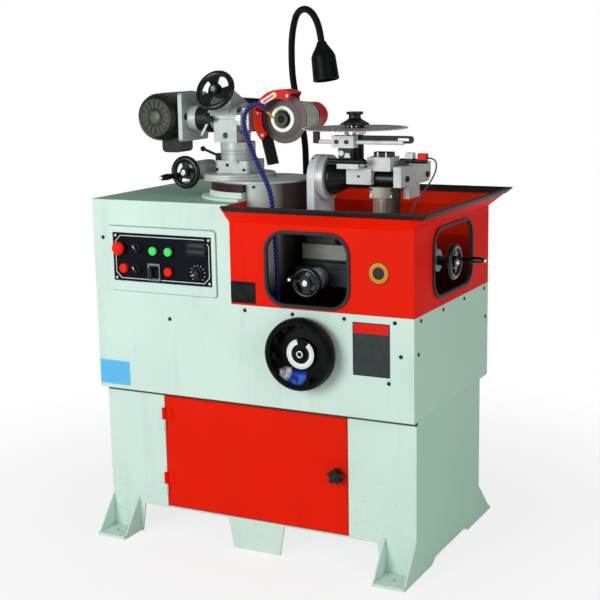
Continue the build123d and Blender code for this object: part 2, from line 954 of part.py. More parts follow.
def cabinet_door():
    y0, y1 = lower_front, lower_front + door_depth
    pan = block(door_left, door_right, y0, y1, door_bottom, door_top)
    inner = block(door_left + door_sheet, door_right - door_sheet, y0 + door_sheet, y1 + 1,
                  door_bottom + door_sheet, door_top - door_sheet)
    pan -= inner
    # Folded rim at the back, and the door's own knuckles above the fixed ones
    rim = block(door_left, door_right, y1 - door_sheet, y1, door_bottom, door_top)
    rim -= block(door_left + door_rim, door_right - door_rim, y0, y1 + 1, door_bottom + door_rim,
                 door_top - door_rim)
    pan += rim
    for z in (door_bottom + door_hinge_inset, door_top - door_hinge_inset):
        knuckle = rod_z(door_knuckle_radius, z + slide_gap, z + door_knuckle_length, hinge_x, hinge_y)
        leaf = block(hinge_x, door_left + door_hinge_leaf, lower_front - 2, lower_front, z + slide_gap,
                     z + door_knuckle_length)
        web = block(hinge_x, hinge_x + door_knuckle_radius, hinge_y, lower_front, z + slide_gap,
                    z + door_knuckle_length)
        bore = rod_z(door_pin_radius + running_fit, z, z + door_knuckle_length + 1, hinge_x, hinge_y)
        pan += knuckle + leaf + web - bore
        pan -= bore
    return pan - rod_y(knob_stem_radius + running_fit, y0 - 1, y1 + 1, knob_x, knob_z)


def door_knob():
    lobes = Circle(knob_radius * 0.68)
    for index in range(knob_lobes):
        angle = radians(90 + 360 / knob_lobes * index)
        reach = knob_radius * 0.66
        lobes += Pos(reach * cos(angle), reach * sin(angle)) * Circle(knob_radius * 0.34)
    head = extrude(lobes, knob_height)
    head = fillet(head.faces().sort_by(Axis.Z)[-1].edges(), 1.5)
    collar = Pos(0, 0, -4) * Cylinder(knob_radius * 0.5, 8)
    knob = facing_front(knob_x, lower_front - 8.3, knob_z) * (head + collar)
    knob += rod_y(knob_stem_radius, lower_front - 9, lower_front + door_depth + 2, knob_x, knob_z)
    # Latch tongue behind the door, hanging straight down while the door is free
    tongue_y = lower_front + door_depth + latch_gap
    tongue = SlotOverall(latch_length, latch_width, rotation=90)
    tongue = across_y(Pos(knob_x, knob_z - latch_length / 2 + latch_width / 2) * tongue, tongue_y,
                      tongue_y + latch_thickness)
    return knob + tongue


# Control panel and its controls
def on_panel(place):
    return panel_x + place[0], panel_z + place[1]


def panel_hole(place, radius):
    x, z = on_panel(place)
    return rod_y(radius + running_fit, panel_face - 30, front_y + 20, x, z)


def control_panel():
    body = block(panel_left, panel_right, panel_face, front_y, panel_bottom, panel_top)
    x, z = on_panel(display_place)
    body += block(x - display_w / 2, x + display_w / 2, panel_face - display_proud, panel_face,
                  z - display_h / 2, z + display_h / 2)
    x, z = on_panel(main_switch_place)
    body += block(x - main_switch_plate_w / 2, x + main_switch_plate_w / 2,
                  panel_face - main_switch_plate,
                  panel_face, z - main_switch_plate_h / 2, z + main_switch_plate_h / 2)
    x, z = on_panel(pilot_place)
    body += rod_y(pilot_radius, panel_face - pilot_proud, panel_face, x, z)
    for place in (start_place, wheel_start_place, stop_place):
        x, z = on_panel(place)
        body += rod_y(button_bezel, panel_face - bezel_proud, panel_face, x, z)
        body -= rod_y(button_radius + slide_gap, panel_face - bezel_proud - 1, panel_face - 0.5, x, z)
        body -= panel_hole(place, button_stem)
    for place in (mode_place, cycle_place):
        x, z = on_panel(place)
        body += rod_y(button_bezel, panel_face - bezel_proud, panel_face, x, z)
        body -= panel_hole(place, selector_stem)
    body -= panel_hole(estop_place, estop_stem)
    body -= panel_hole(main_switch_place, selector_stem)
    return body - panel_hole(speed_knob_place, selector_stem)


def emergency_stop():
    x, z = on_panel(estop_place)
    head = turned((0, 0), (estop_radius * 0.72, 0), (estop_radius, 4), (estop_radius, estop_head * 0.55),
                  (estop_radius * 0.7, estop_head * 0.92), (0, estop_head))
    stem = rod_y(estop_stem, panel_face - estop_gap - 0.5, front_y + stem_depth + 2, x, z)
    return facing_front(x, panel_face - estop_gap, z) * head + stem


def push_button(place):
    x, z = on_panel(place)
    cap = fillet(Cylinder(button_radius, button_proud).faces().sort_by(Axis.Z)[-1].edges(), 1.2)
    cap_y = panel_face - button_travel - 1 - button_proud / 2
    return facing_front(x, cap_y, z) * cap + rod_y(button_stem, cap_y, front_y + stem_depth, x, z)


def selector(place):
    x, z = on_panel(place)
    y0 = panel_face - bezel_proud - slide_gap
    disc = rod_y(selector_radius, y0 - 5, y0, x, z)
    shape = SlotOverall(2 * selector_radius - 1.5, selector_handle_width, rotation=selector_rest)
    handle = across_y(Pos(x, z) * shape, y0 - 5 - selector_handle_proud, y0 - 5)
    return disc + handle + rod_y(selector_stem, y0, front_y + stem_depth, x, z)


def main_switch():
    x, z = on_panel(main_switch_place)
    y0 = panel_face - main_switch_plate - slide_gap
    disc = rod_y(main_switch_radius, y0 - 6, y0, x, z)
    shape = SlotOverall(2.1 * main_switch_radius, main_switch_handle_width, rotation=90)
    handle = across_y(Pos(x, z) * shape, y0 - 6 - main_switch_handle_proud, y0 - 6)
    return disc + handle + rod_y(selector_stem, y0, front_y + stem_depth, x, z)


def speed_knob():
    x, z = on_panel(speed_knob_place)
    y0 = panel_face - slide_gap
    skirt = turned((0, 0), (speed_knob_radius, 0), (speed_knob_radius, 3), (speed_knob_radius * 0.75, 5),
                   (speed_knob_radius * 0.68, speed_knob_height - 1), (0, speed_knob_height))
    for index in range(12):
        skirt -= Rot(0, 0, 30 * index) * (Pos(speed_knob_radius * 0.78, 0, 11) * Cylinder(1.6, 12))
    return facing_front(x, y0, z) * skirt + rod_y(selector_stem, y0, front_y + stem_depth, x, z)


# Grinding side
def column():
    body = rod_z(column_radius, deck_height, column_top, column_x, work_y)
    return body - rod_z(column_radius - column_wall, deck_height - 1, column_top - column_wall,
                        column_x, work_y)


def head_base():
    z0 = column_top
    hull = link_outline(column_x, work_y, base_plate_radius, swivel_x, work_y, swivel_radius)
    body = up_z(hull, z0, z0 + base_plate)
    disc = up_z(Pos(swivel_x, work_y) * Circle(swivel_radius), z0 + base_plate, head_base_top)
    body += fillet(disc.faces().sort_by(Axis.Z)[-1].edges(), 2)
    bracket = block(worm_x - worm_bracket_width / 2, worm_x + worm_bracket_width / 2, worm_bracket_front,
                    worm_bracket_rear, z0, z0 + worm_bracket_height)
    bracket = fillet(bracket.edges().filter_by(Axis.Y).group_by(Axis.Z)[-1], worm_bracket_corner)
    body += bracket
    return body - rod_y(worm_shaft_radius + running_fit, worm_bracket_front - 1, worm_bracket_rear + 1,
                        worm_x, worm_z)


def swivel_handwheel():
    wheel = crank_wheel(swivel_wheel_radius, 8, 12, 12, 14, 0, swivel_handle_angle, first_window=30)
    wheel = facing_front(worm_x, swivel_wheel_y, worm_z) * wheel
    return wheel + rod_y(worm_shaft_radius, swivel_wheel_y - 6, worm_bracket_rear, worm_x, worm_z)


def tilt_frame():
    # Local frame of the tilt worm: -Y along its axis towards the handwheel, +Z away from the tube
    return Pos(0, work_y, head_z) * Rot(-tilt_worm_slope, 0, 0)


def swivel_head():
    x0, x1 = swivel_x - swivel_block_left, swivel_x + swivel_block_right
    half = swivel_block_depth / 2
    base = block(x0, x1, work_y - half, work_y + half, swivel_bottom, block_top)
    base = fillet(base.edges().filter_by(Axis.Z), swivel_block_corner)
    low_top = block_top + swivel_ring_low
    base += rod_z(swivel_ring_radius, block_top, low_top, swivel_x, work_y)
    base += rod_z(swivel_ring_radius - ring_groove, low_top, low_top + ring_groove, swivel_x, work_y)
    base += rod_z(swivel_ring_radius, low_top + ring_groove, ring_top, swivel_x, work_y)
    carrier = block(swivel_x - carrier_left, swivel_x + carrier_right, work_y - carrier_depth / 2,
                    work_y + carrier_depth / 2, ring_top, head_z)
    carrier -= rod_y(carrier_hole_radius, work_y - carrier_depth, work_y - carrier_depth / 4,
                     swivel_x - carrier_hole_shift, ring_top + carrier_hole_rise)
    base += carrier
    base += rod_x(housing_radius, housing_left, housing_right, work_y, head_z)
    worm_box = block(tilt_worm_x - tilt_housing_half, tilt_worm_x + tilt_housing_half,
                     -tilt_housing_front,
                     tilt_housing_rear, 0, tilt_housing_top)
    base += tilt_frame() * fillet(worm_box.edges().filter_by(Axis.Y).group_by(Axis.Z)[-1],
                                  tilt_housing_corner)
    # Boss of the tilt clamp, and the bores
    boss_front = work_y - housing_radius - tilt_lever_boss_proud
    base += rod_y(tilt_lever_boss, boss_front, work_y, housing_left + tilt_lever_boss, head_z)
    bore = tube_radius + running_fit
    base -= rod_x(bore, housing_left - 60, housing_right + 60, work_y, head_z)
    shaft_bore = rod_y(worm_shaft_radius + running_fit, -tilt_housing_front - 1, tilt_housing_rear - 10,
                       tilt_worm_x, tilt_worm_offset)
    return base - tilt_frame() * shaft_bore


def tilt_handwheel():
    wheel = handwheel(tilt_wheel_radius, 8, 15, 10, 16, 0, 50)
    wheel = facing_front(tilt_worm_x, -tilt_wheel_reach, tilt_worm_offset) * wheel
    shaft = rod_y(worm_shaft_radius, -tilt_wheel_reach - 8, tilt_housing_rear - 12, tilt_worm_x,
                  tilt_worm_offset)
    return tilt_frame() * (wheel + shaft)


def tilt_clamp_lever():
    x = housing_left + tilt_lever_boss
    y1 = work_y - housing_radius - tilt_lever_boss_proud - slide_gap
    hub = rod_y(tilt_lever_hub, y1 - 2 * tilt_lever_hub, y1, x, head_z)
    arm = Pos(0, 0, -lever_length / 2) * Cylinder(lever_rod_radius, lever_length)
    bar = Pos(0, 0, 4) * Rot(0, 90, 0) * Cylinder(lever_bar_radius, lever_bar_length)
    arm = Pos(x, y1 - 10, head_z) * Rot(0, lever_slope, 0) * arm
    return hub + arm + Pos(x, y1 - 12, head_z) * Rot(0, lever_slope, 0) * bar


def swivel_clamp_lever():
    x = swivel_x - swivel_block_left + swivel_lever_inset
    y = work_y - swivel_block_depth / 2 + swivel_lever_inset
    z0 = block_top + slide_gap
    place = Pos(x, y, z0 + 12) * Rot(0, -70, 12)
    arm = Pos(0, 0, lever_length / 2) * Cylinder(lever_rod_radius, lever_length)
    ball = Pos(0, 0, lever_length) * Sphere(swivel_lever_ball)
    return rod_z(swivel_lever_hub, z0, z0 + 18, x, y) + place * arm + place * ball


def head_tube():
    body = rod_x(tube_radius, plate_left, housing_right + flange_thickness, work_y, head_z)
    body += rod_x(clamp_ring_radius, clamp_ring_x - clamp_ring_width, clamp_ring_x, work_y, head_z)
    body += rod_x(boss_radius, plate_left, clamp_ring_x - clamp_ring_width, work_y, head_z)
    flange_x = housing_right + slide_gap
    body += rod_x(flange_radius, flange_x, flange_x + flange_thickness, work_y, head_z)
    side = block(plate_left, plate_right, motor_plate_front, motor_plate_rear,
                 motor_z - motor_plate_height / 2, motor_z + motor_plate_height / 2)
    body += fillet(side.edges().filter_by(Axis.X), motor_plate_corner)
    # Cranked arm that carries the spindle housing behind the wheel
    arm_x = flange_x + flange_thickness
    arm = block(arm_x, arm_x + arm_width, work_y - arm_height / 2, arm_rear, head_z - arm_height / 2,
                head_z + arm_height / 2)
    arm += block(arm_x, wheel_x, spindle_housing_front + 6, arm_rear, head_z - arm_web / 2,
                 head_z + arm_web / 2)
    arm -= rod_y(spindle_housing_radius + fixed_fit, spindle_housing_front, arm_rear + 1, wheel_x, head_z)
    return body + arm


def motor_body():
    y1 = motor_front + motor_fan_length
    groove_y1 = motor_rear - motor_shield
    shell = rod_y(motor_radius, y1, motor_rear, motor_x, motor_z)
    shell -= rod_y(motor_radius + 1, groove_y1 - motor_groove, groove_y1, motor_x, motor_z)
    shell += rod_y(motor_radius - 2, y1, motor_rear, motor_x, motor_z)
    fan = turned((0, 0), (motor_radius - 1, 0), (motor_radius - 1, motor_fan_length * 0.62),
                 (motor_radius - 5, motor_fan_length * 0.84), (fan_face_radius, motor_fan_length),
                 (0, motor_fan_length))
    for index in range(fan_slots):
        slot = Pos(fan_face_radius * 0.62, 0, motor_fan_length) * Box(
            fan_face_radius * 0.5, fan_slot_width, 2 * fan_slot_depth)
        fan -= Rot(0, 0, 360 / fan_slots * index) * slot
    shell += facing_front(motor_x, y1, motor_z) * fan
    # Foot pad against the motor plate, and the terminal box underneath
    foot_y0 = motor_plate_front + motor_foot_setback
    shell += block(motor_x, plate_left, foot_y0, foot_y0 + motor_foot, motor_z - motor_foot / 2,
                   motor_z + motor_foot / 2)
    box_x = motor_x + terminal_shift
    box_y0 = motor_front + terminal_setback
    box_z0 = motor_z - motor_radius - terminal_h + terminal_lap
    box = block(box_x - terminal_w / 2, box_x + terminal_w / 2, box_y0, box_y0 + terminal_d, box_z0,
                motor_z)
    shell += fillet(box.edges().filter_by(Axis.Y).group_by(Axis.Z)[0], terminal_corner)
    return shell - rod_y(motor_shaft_radius + running_fit, motor_rear - motor_shaft_length - motor_gap,
                         motor_rear + 1, motor_x, motor_z)


def motor_rotor():
    shaft = rod_y(motor_shaft_radius, motor_rear - motor_shaft_length, belt_front + pulley_width,
                  motor_x, motor_z)
    return shaft + rod_y(motor_pulley_radius, belt_front, belt_front + pulley_width, motor_x, motor_z)


def drive_belt():
    outer = link_outline(motor_x, motor_z, motor_pulley_radius + belt_gap + belt_thickness,
                         wheel_x, head_z, spindle_pulley_radius + belt_gap + belt_thickness)
    inner = link_outline(motor_x, motor_z, motor_pulley_radius + belt_gap,
                         wheel_x, head_z, spindle_pulley_radius + belt_gap)
    return across_y(outer - inner, belt_y0, belt_y0 + belt_width)


def belt_housing():
    outer = link_outline(motor_x, motor_z, motor_cover_radius, wheel_x, head_z, spindle_cover_radius)
    inner = link_outline(motor_x, motor_z, motor_cover_radius - belt_cover_wall,
                         wheel_x, head_z, spindle_cover_radius - belt_cover_wall)
    return across_y(outer, motor_rear, cover_rear) - across_y(inner, motor_rear - 1,
                                                              cover_rear - belt_cover_wall)


def spindle_cap():
    dome = turned((0, 0), (cap_radius, 0), (cap_radius, cap_depth * 0.6),
                  (cap_radius * 0.86, cap_depth * 0.9),
                  (cap_radius * 0.6, cap_depth), (0, cap_depth))
    return Pos(wheel_x, cover_rear, head_z) * Rot(-90, 0, 0) * dome


def spindle_housing():
    body = rod_y(spindle_housing_radius, spindle_housing_front, motor_rear, wheel_x, head_z)
    body += rod_y(spindle_cover_radius + 1, motor_rear - spindle_flange, motor_rear, wheel_x, head_z)
    return body - rod_y(spindle_radius + running_fit, spindle_housing_front - 1, motor_rear + 1,
                        wheel_x, head_z)


def grinding_spindle():
    y1 = belt_front + pulley_width
    body = rod_y(spindle_radius, wheel_back, y1, wheel_x, head_z)
    body += rod_y(spindle_pulley_radius, belt_front, y1, wheel_x, head_z)
    body += rod_y(shoulder_radius, wheel_back, spindle_housing_front - shoulder_gap, wheel_x, head_z)
    nose_y = wheel_front - wheel_flange_thickness - wheel_nut_length
    return body + rod_y(wheel_bore, nose_y, wheel_back, wheel_x, head_z)


def grinding_wheel():
    rim = wheel_width - wheel_rim_width
    profile = turned((wheel_bore + fixed_fit, 0), (wheel_radius, 0), (wheel_radius, wheel_rim_width),
                     (wheel_radius - 12, wheel_rim_width),
                     (wheel_flange_radius + 4, wheel_rim_width + rim),
                     (wheel_bore + fixed_fit, wheel_width))
    return facing_front(wheel_x, wheel_back, head_z) * profile


def wheel_flange():
    length = wheel_flange_thickness + wheel_nut_length
    profile = turned((wheel_bore + fixed_fit, 0), (wheel_flange_radius, 0),
                     (wheel_flange_radius, wheel_flange_thickness - 1),
                     (wheel_flange_radius - 1, wheel_flange_thickness),
                     (wheel_nut_radius + 3, wheel_flange_thickness), (wheel_nut_radius, 2),
                     (wheel_nut_radius - 2, 2),
                     (wheel_nut_radius - 3, length), (wheel_bore + fixed_fit, length))
    return facing_front(wheel_x, wheel_front, head_z) * profile


def wheel_guard():
    # Front cheek in two leaves with a split between them, rim, and rear cheek
    centre = Pos(wheel_x, head_z)
    low_start, high_end = guard_split + guard_split_half, guard_split - guard_split_half
    cheek = ring_sector(guard_inner, guard_radius, guard_start, high_end)
    cheek += ring_sector(guard_inner, guard_radius, low_start, guard_end)
    front = across_y(centre * cheek, guard_front, guard_front + guard_sheet)
    rim = across_y(centre * ring_sector(guard_radius - guard_sheet, guard_radius, guard_start, guard_end),
                   guard_front, spindle_housing_front)
    rear_y0 = spindle_housing_front - guard_sheet
    rear = across_y(centre * ring_sector(shoulder_radius + 1, guard_radius, guard_start, guard_end),
                    rear_y0, spindle_housing_front)
    ring = rod_y(spindle_housing_radius, rear_y0, spindle_housing_front, wheel_x, head_z)
    ring -= rod_y(shoulder_radius + 1, rear_y0 - 1, spindle_housing_front + 1, wheel_x, head_z)
    return front + rim + rear + ring


def guard_flap():
    # Rubber strip that hangs from inside the lower end of the guard's rim
    inner = guard_radius - guard_sheet - fixed_fit
    angle = radians(guard_end - flap_lap)
    x = wheel_x + inner * cos(angle)
    z = head_z + inner * sin(angle)
    lean = tan(radians(flap_slope))
    strip = outline((x, z), (x + flap_thickness, z),
                    (x + flap_thickness + lean * flap_length, z - flap_length),
                    (x + lean * flap_length, z - flap_length))
    strip = across_y(strip, guard_front + guard_sheet, spindle_housing_front - guard_sheet)
    rim = Pos(wheel_x, head_z) * ring_sector(inner, guard_radius + 20, guard_end - 60, guard_end)
    return strip - across_y(rim, guard_front - 1, spindle_housing_front + 1)


# Blade side
def front_handwheel():
    depth, rim, face = front_wheel_depth, front_wheel_radius, front_hub_face
    dish = turned((0, 4), (rim - 24, 4), (rim - 9, 10), (rim - 1, 16), (rim, depth * 0.62),
                  (rim - 3, depth - 4),
                  (rim - 9, depth), (rim - 16, depth - 5), (rim - 18, depth * 0.5),
                  (rim - 26, front_dish_floor - 2), (front_wheel_hub, front_dish_floor),
                  (front_wheel_hub - 1, face), (12, face), (12, face + 4), (0, face + 4))
    # Finger bumps round the inside of the rim
    bump_height = 0.6 * (depth - front_dish_floor)
    bump = Pos(rim - 14, 0, front_dish_floor + bump_height / 2) * Cylinder(finger_bump_radius,
                                                                           bump_height)
    bump = fillet(bump.faces().sort_by(Axis.Z)[-1].edges(), 3)
    for index in range(finger_bumps):
        dish += Rot(0, 0, 90 + 360 / finger_bumps * index) * bump
    wheel = facing_front(front_wheel_x, front_y - front_wheel_gap, front_wheel_z) * dish
    bore_y = front_y - front_wheel_gap - face + 2
    return wheel - rod_y(lift_shaft_radius + fixed_fit, bore_y, front_y, front_wheel_x, front_wheel_z)


def lift_shaft():
    y0 = front_y - front_wheel_gap - front_hub_face + 4
    half = lift_worm_length / 2
    body = rod_y(lift_shaft_radius, y0, work_y + half + 10, front_wheel_x, front_wheel_z)
    return body + rod_y(lift_worm_radius - slide_gap, work_y - half, work_y + half, front_wheel_x,
                        front_wheel_z)


def lift_screw():
    z = front_wheel_z
    body = rod_z(lift_screw_radius, deck_height - lift_screw_seat + 1, bed_z0 - lift_travel - 12,
                 lift_x, work_y)
    return body + rod_z(lift_gear_radius - slide_gap, z - lift_gear_width / 2, z + lift_gear_width / 2,
                        lift_x, work_y)


def dovetail(half, height):
    # Male slide section, wider at its top
    return outline((-half + dovetail_undercut, 0), (half - dovetail_undercut, 0), (half, height),
                   (-half, height))


def dovetail_slot(half, height):
    grown = half + slide_gap
    return outline((-grown + dovetail_undercut, -1), (grown - dovetail_undercut, -1),
                   (grown + 0.5, height + slide_gap), (-grown - 0.5, height + slide_gap))


def slide_bed():
    body = block(bed_left, bed_right, bed_front, bed_rear, bed_z0, bed_z1)
    body = fillet(body.edges().filter_by(Axis.Z), bed_corner)
    body += across_y(Pos(lift_x, bed_z1) * dovetail(dovetail_half, dovetail_height), bed_front + 20,
                     bed_rear)
    post_z0 = bed_z0 - lift_post_below - lift_travel - lift_clear
    body += rod_z(lift_post_radius, post_z0, bed_z0, lift_x, work_y)
    body -= rod_z(lift_screw_radius + running_fit, post_z0 - 1, bed_z0 - lift_screw_seat, lift_x, work_y)
    return body - rod_y(screw_radius + running_fit, bed_front - 1, bed_rear - screw_end, cross_x, cross_z)


def cross_screw():
    y0 = bed_front - collar_gap - collar_length
    body = rod_y(screw_radius, cross_wheel_y - 6, bed_rear - screw_end - 2, cross_x, cross_z)
    body += rod_y(collar_radius, y0, bed_front - collar_gap, cross_x, cross_z)
    return body + rod_y(collar_radius - collar_step, y0 - 12, y0, cross_x, cross_z)


def cross_handwheel():
    wheel = crank_wheel(cross_wheel_radius, 7, 14, 8, 14, screw_radius, cross_handle_angle,
                        cross_grip_length)
    return facing_front(cross_x, cross_wheel_y, cross_z) * wheel


def saddle():
    body = block(saddle_left, saddle_right, saddle_y0, saddle_y1, saddle_z0, saddle_z1)
    body = fillet(body.edges().filter_by(Axis.Z), 6)
    body -= across_y(Pos(lift_x, saddle_z0) * dovetail_slot(dovetail_half, dovetail_height),
                     saddle_y0 - 1, saddle_y1 + 1)
    body += across_x(Pos(work_y, saddle_z1) * dovetail(carriage_dovetail_half, dovetail_height),
                     saddle_left, saddle_right - 40)
    return body - rod_x(screw_radius + running_fit, saddle_left + screw_end, saddle_right + 1, work_y,
                        long_z)


def long_screw():
    x0 = saddle_right + collar_gap
    body = rod_x(screw_radius, saddle_left + screw_end + 2, long_wheel_x + 6, work_y, long_z)
    body += rod_x(collar_radius, x0, x0 + collar_length, work_y, long_z)
    return body + rod_x(collar_radius - collar_step, x0 + collar_length,
                        long_wheel_x - long_hub_rear - slide_gap, work_y, long_z)


def long_handwheel():
    wheel = crank_wheel(long_wheel_radius, 8, 14, 8, long_hub_rear, screw_radius, long_handle_angle)
    return facing_right(long_wheel_x, work_y, long_z) * wheel


def carriage():
    x0, x1 = blade_x - carriage_left, blade_x - carriage_right
    body = block(x0, x1, work_y - carriage_half, work_y + carriage_half, carriage_z0, carriage_z1)
    body = fillet(body.edges().filter_by(Axis.Z), 6)
    return body - across_x(Pos(work_y, carriage_z0) * dovetail_slot(carriage_dovetail_half,
                                                                    dovetail_height),
                           x0 - 1, x1 + 1)


def holder_post():
    half = post_width / 2
    upright = outline((-half, carriage_z1), (half, carriage_z1), (half, tilt_z), (-half, tilt_z))
    shape = Pos(work_y, 0) * upright + Pos(work_y, tilt_z) * Circle(half)
    body = across_x(shape, post_x0, post_x1)
    foot_x1 = blade_x - carriage_right - 6
    body += block(post_x0, foot_x1, work_y - half + 6, work_y + half - 6, carriage_z1,
                  carriage_z1 + post_foot)
    rib_x1 = post_x1 + post_rib_length
    rib = outline((post_x1 - 1, carriage_z1), (rib_x1, carriage_z1),
                  (post_x1 - 1, tilt_z - tilt_disc_radius - 8))
    body += across_y(rib, work_y - post_rib_width / 2, work_y + post_rib_width / 2)
    return body - rod_x(bar_radius + running_fit, post_x0 - 1, post_x1 + 1, work_y, tilt_z)


def tilt_disc():
    body = rod_x(tilt_disc_radius, disc_x0, disc_x1, work_y, tilt_z)
    body = fillet(body.faces().sort_by(Axis.X)[-1].edges(), 3)
    return body - rod_x(bar_radius + fixed_fit, disc_x0 - 1, disc_x1 + 1, work_y, tilt_z)


def holder_bar():
    hub = turned((0, 0), (bar_hub_radius, 0), (bar_hub_radius, 8), (bar_radius + 2, bar_hub_length),
                 (0, bar_hub_length))
    return facing_right(disc_x1, work_y, tilt_z) * hub + rod_x(bar_radius, post_x0, bracket_x0, work_y,
                                                               tilt_z)


def slider_block():
    x0, x1 = blade_x - slider_left, blade_x + slider_right
    step_z0 = bar_top + 1
    body = block(x0, x1, slider_front, slider_rear, slider_bottom, slider_top)
    body += block(blade_x - strip_left, blade_x + strip_right, guide_front, slider_rear, slider_top,
                  strip_top)
    body += block(blade_x + step_left, blade_x + step_right, slider_front + step_front_inset,
                  slider_rear - step_rear_inset, step_z0, step_z0 + step_height)
    pad = block(blade_x + pad_left, blade_x + step_right - 2, slider_front + 14, slider_front + 42,
                step_z0 + step_height, step_z0 + step_height + pad_height)
    body += fillet(pad.edges().filter_by(Axis.X).group_by(Axis.Z)[-1], 5)
    # Clamp rod with its ball, lying on the strip
    rod_y0, rod_z0 = work_y - clamp_rod_reach, strip_top + clamp_rod_radius - 1
    body += rod_x(clamp_rod_radius, blade_x - clamp_rod_left, blade_x + clamp_rod_right, rod_y0, rod_z0)
    body += Pos(blade_x + clamp_rod_right + 6, rod_y0, rod_z0 - 2) * Sphere(clamp_ball_radius)
    body -= rod_x(bar_radius + fixed_fit, x0 - 1, x1 + 1, work_y, tilt_z)
    # Arbor bearing, and the pawl guide on its pillar
    body += rod_z(arbor_boss_radius, slider_top, blade_low - arbor_flange - arbor_flange_gap, blade_x,
                  work_y)
    body -= rod_z(arbor_radius + running_fit, bar_top + arbor_seat - 1, blade_z, blade_x, work_y)
    guide = block(blade_x - guide_left, blade_x + guide_right, guide_front, guide_rear, guide_bottom,
                  guide_top)
    guide -= rod_x(pawl_rod_radius + running_fit, blade_x - 100, blade_x + 100, pawl_rod_y, pawl_rod_z)
    body += guide
    return body + block(blade_x - guide_post_left, blade_x + guide_post_right,
                        pawl_rod_y - guide_post_half,
                        pawl_rod_y + guide_post_half, strip_top, guide_bottom)


def end_bracket():
    face = outline((bracket_front, bracket_bottom), (bracket_rear - bracket_chamfer, bracket_bottom),
                   (bracket_rear, bracket_bottom + bracket_chamfer), (bracket_rear, bracket_top),
                   (bracket_front, bracket_top))
    body = across_x(face, bracket_x0, bracket_x1)
    body += block(bracket_x0 + 5, bracket_x1, work_y + bracket_foot_front, work_y + bracket_foot_rear,
                  bracket_foot_bottom, bracket_bottom)
    body += block(bracket_x0, bracket_x1, work_y - pedestal_width / 2, work_y + pedestal_width / 2,
                  bracket_top,
                  sensor_z)
    body += rod_x(sensor_rod_radius, bracket_x0 + 2, sensor_x + sensor_w, work_y, sensor_z)
    block_x = sensor_x - sensor_block_gap
    return body + block(block_x - sensor_block_w, block_x, work_y - sensor_block_d / 2,
                        work_y + sensor_block_d / 2, sensor_z, sensor_z + sensor_block_h)


def blade_sensor():
    # A small box that sits on the end of its rod
    x0, x1, z0 = sensor_x, sensor_x + sensor_w, sensor_z + sensor_rod_radius - 2
    body = block(x0, x1, work_y - sensor_d / 2, work_y + sensor_d / 2, z0, z0 + sensor_h)
    body = fillet(body.edges().filter_by(Axis.X).group_by(Axis.Z)[-1], 3)
    return body - rod_x(sensor_rod_radius + fixed_fit, x0 - 1, x1 + 1, work_y, sensor_z)


def sensor_cable():
    return tube("sensor cable", cable_points, cable_radius)[0]


def gear_motor():
    half_w, half_d = gearbox_w / 2, gearbox_d / 2
    z0 = gearbox_top - gearbox_h
    box = block(gear_motor_x - half_w, gear_motor_x + half_w, gear_motor_y - half_d,
                gear_motor_y + half_d,
                z0, gearbox_top + gearbox_lap)
    box = fillet(box.edges().filter_by(Axis.Z), 5)
    box -= rod_x(bar_radius + fixed_fit, gear_motor_x - 100, gear_motor_x + 100, work_y, tilt_z)
    body = Cylinder(gear_motor_radius, gear_motor_length)
    for index in range(gear_motor_ribs):
        groove = Rot(0, 0, 360 / gear_motor_ribs * index) * Pos(gear_motor_radius, 0, 0)
        body -= groove * Box(3, 4, gear_motor_length - 16)
    box += Pos(gear_motor_x, work_y, z0 - gear_motor_length / 2) * body
    # Gland that the sensor cable runs into
    return box + rod_x(gland_radius, gear_motor_x + gear_motor_radius - 4, gland_x, cable_points[-1][1],
                       cable_points[-1][2])


def pawl_rod():
    body = rod_x(pawl_rod_radius, blade_x - pawl_rod_left, blade_x + pawl_rod_right, pawl_rod_y,
                 pawl_rod_z)
    bar_z0 = pawl_rod_z - pawl_rod_radius + 3
    bar = block(blade_x + pawl_bar_left, blade_x + pawl_bar_right, pawl_bar_front,
                pawl_bar_front + pawl_bar_thickness, bar_z0, bar_z0 + pawl_bar_height)
    bar = fillet(bar.edges().filter_by(Axis.Y).group_by(Axis.X)[-1], pawl_bar_height * 0.45)
    slot = SlotOverall(pawl_slot_length, pawl_slot_width)
    slot = Pos(blade_x + pawl_bar_right - pawl_slot_length / 2 - 10, bar_z0 + pawl_bar_height / 2) * slot
    bar -= across_y(slot, pawl_bar_front - 1, pawl_bar_front + pawl_bar_thickness + 1)
    lug_x = blade_x + pawl_rod_right - 16
    lug = block(lug_x, lug_x + pawl_lug_width, pawl_rod_y - 3, pawl_bar_front + 4, pawl_rod_z - 4,
                pawl_rod_z + 5)
    tip_x = blade_x - pawl_rod_left
    finger = block(tip_x - 4, tip_x - 4 + pawl_finger_width, pawl_rod_y - 6, pawl_rod_y + 6,
                   pawl_rod_z - 4,
                   blade_low - pawl_finger_gap)
    return body + bar + lug + finger


def saw_blade():
    # Tooth outline: a hooked face, a sloped top and a round gullet for each tooth
    pitch = 2 * pi / blade_teeth
    points = []
    for index in range(blade_teeth):
        start = index * pitch
        for share, drop in ((0, 0), (0.34, 0.8), (0.52, 0.66 * tooth_depth), (0.7, tooth_depth),
                            (0.86, 0.92 * tooth_depth), (0.98, 0.5 * tooth_depth)):
            angle = start + share * pitch
            radius = blade_radius - drop
            points.append((radius * cos(angle), radius * sin(angle)))
    disc = outline(*points) - Circle(arbor_radius + fixed_fit)
    for index in range(4):
        angle = radians(45 + 90 * index)
        disc -= Pos(blade_hole_circle * cos(angle),
                    blade_hole_circle * sin(angle)) * Circle(blade_hole_radius)
    return up_z(Pos(blade_x, work_y) * disc, blade_low, blade_top)


def blade_arbor():
    body = rod_z(arbor_radius, bar_top + arbor_seat, blade_top, blade_x, work_y)
    body += rod_z(arbor_flange_radius, blade_low - arbor_flange, blade_low, blade_x, work_y)
    return body + rod_z(arbor_thread_radius, blade_top, blade_top + arbor_thread_length, blade_x, work_y)


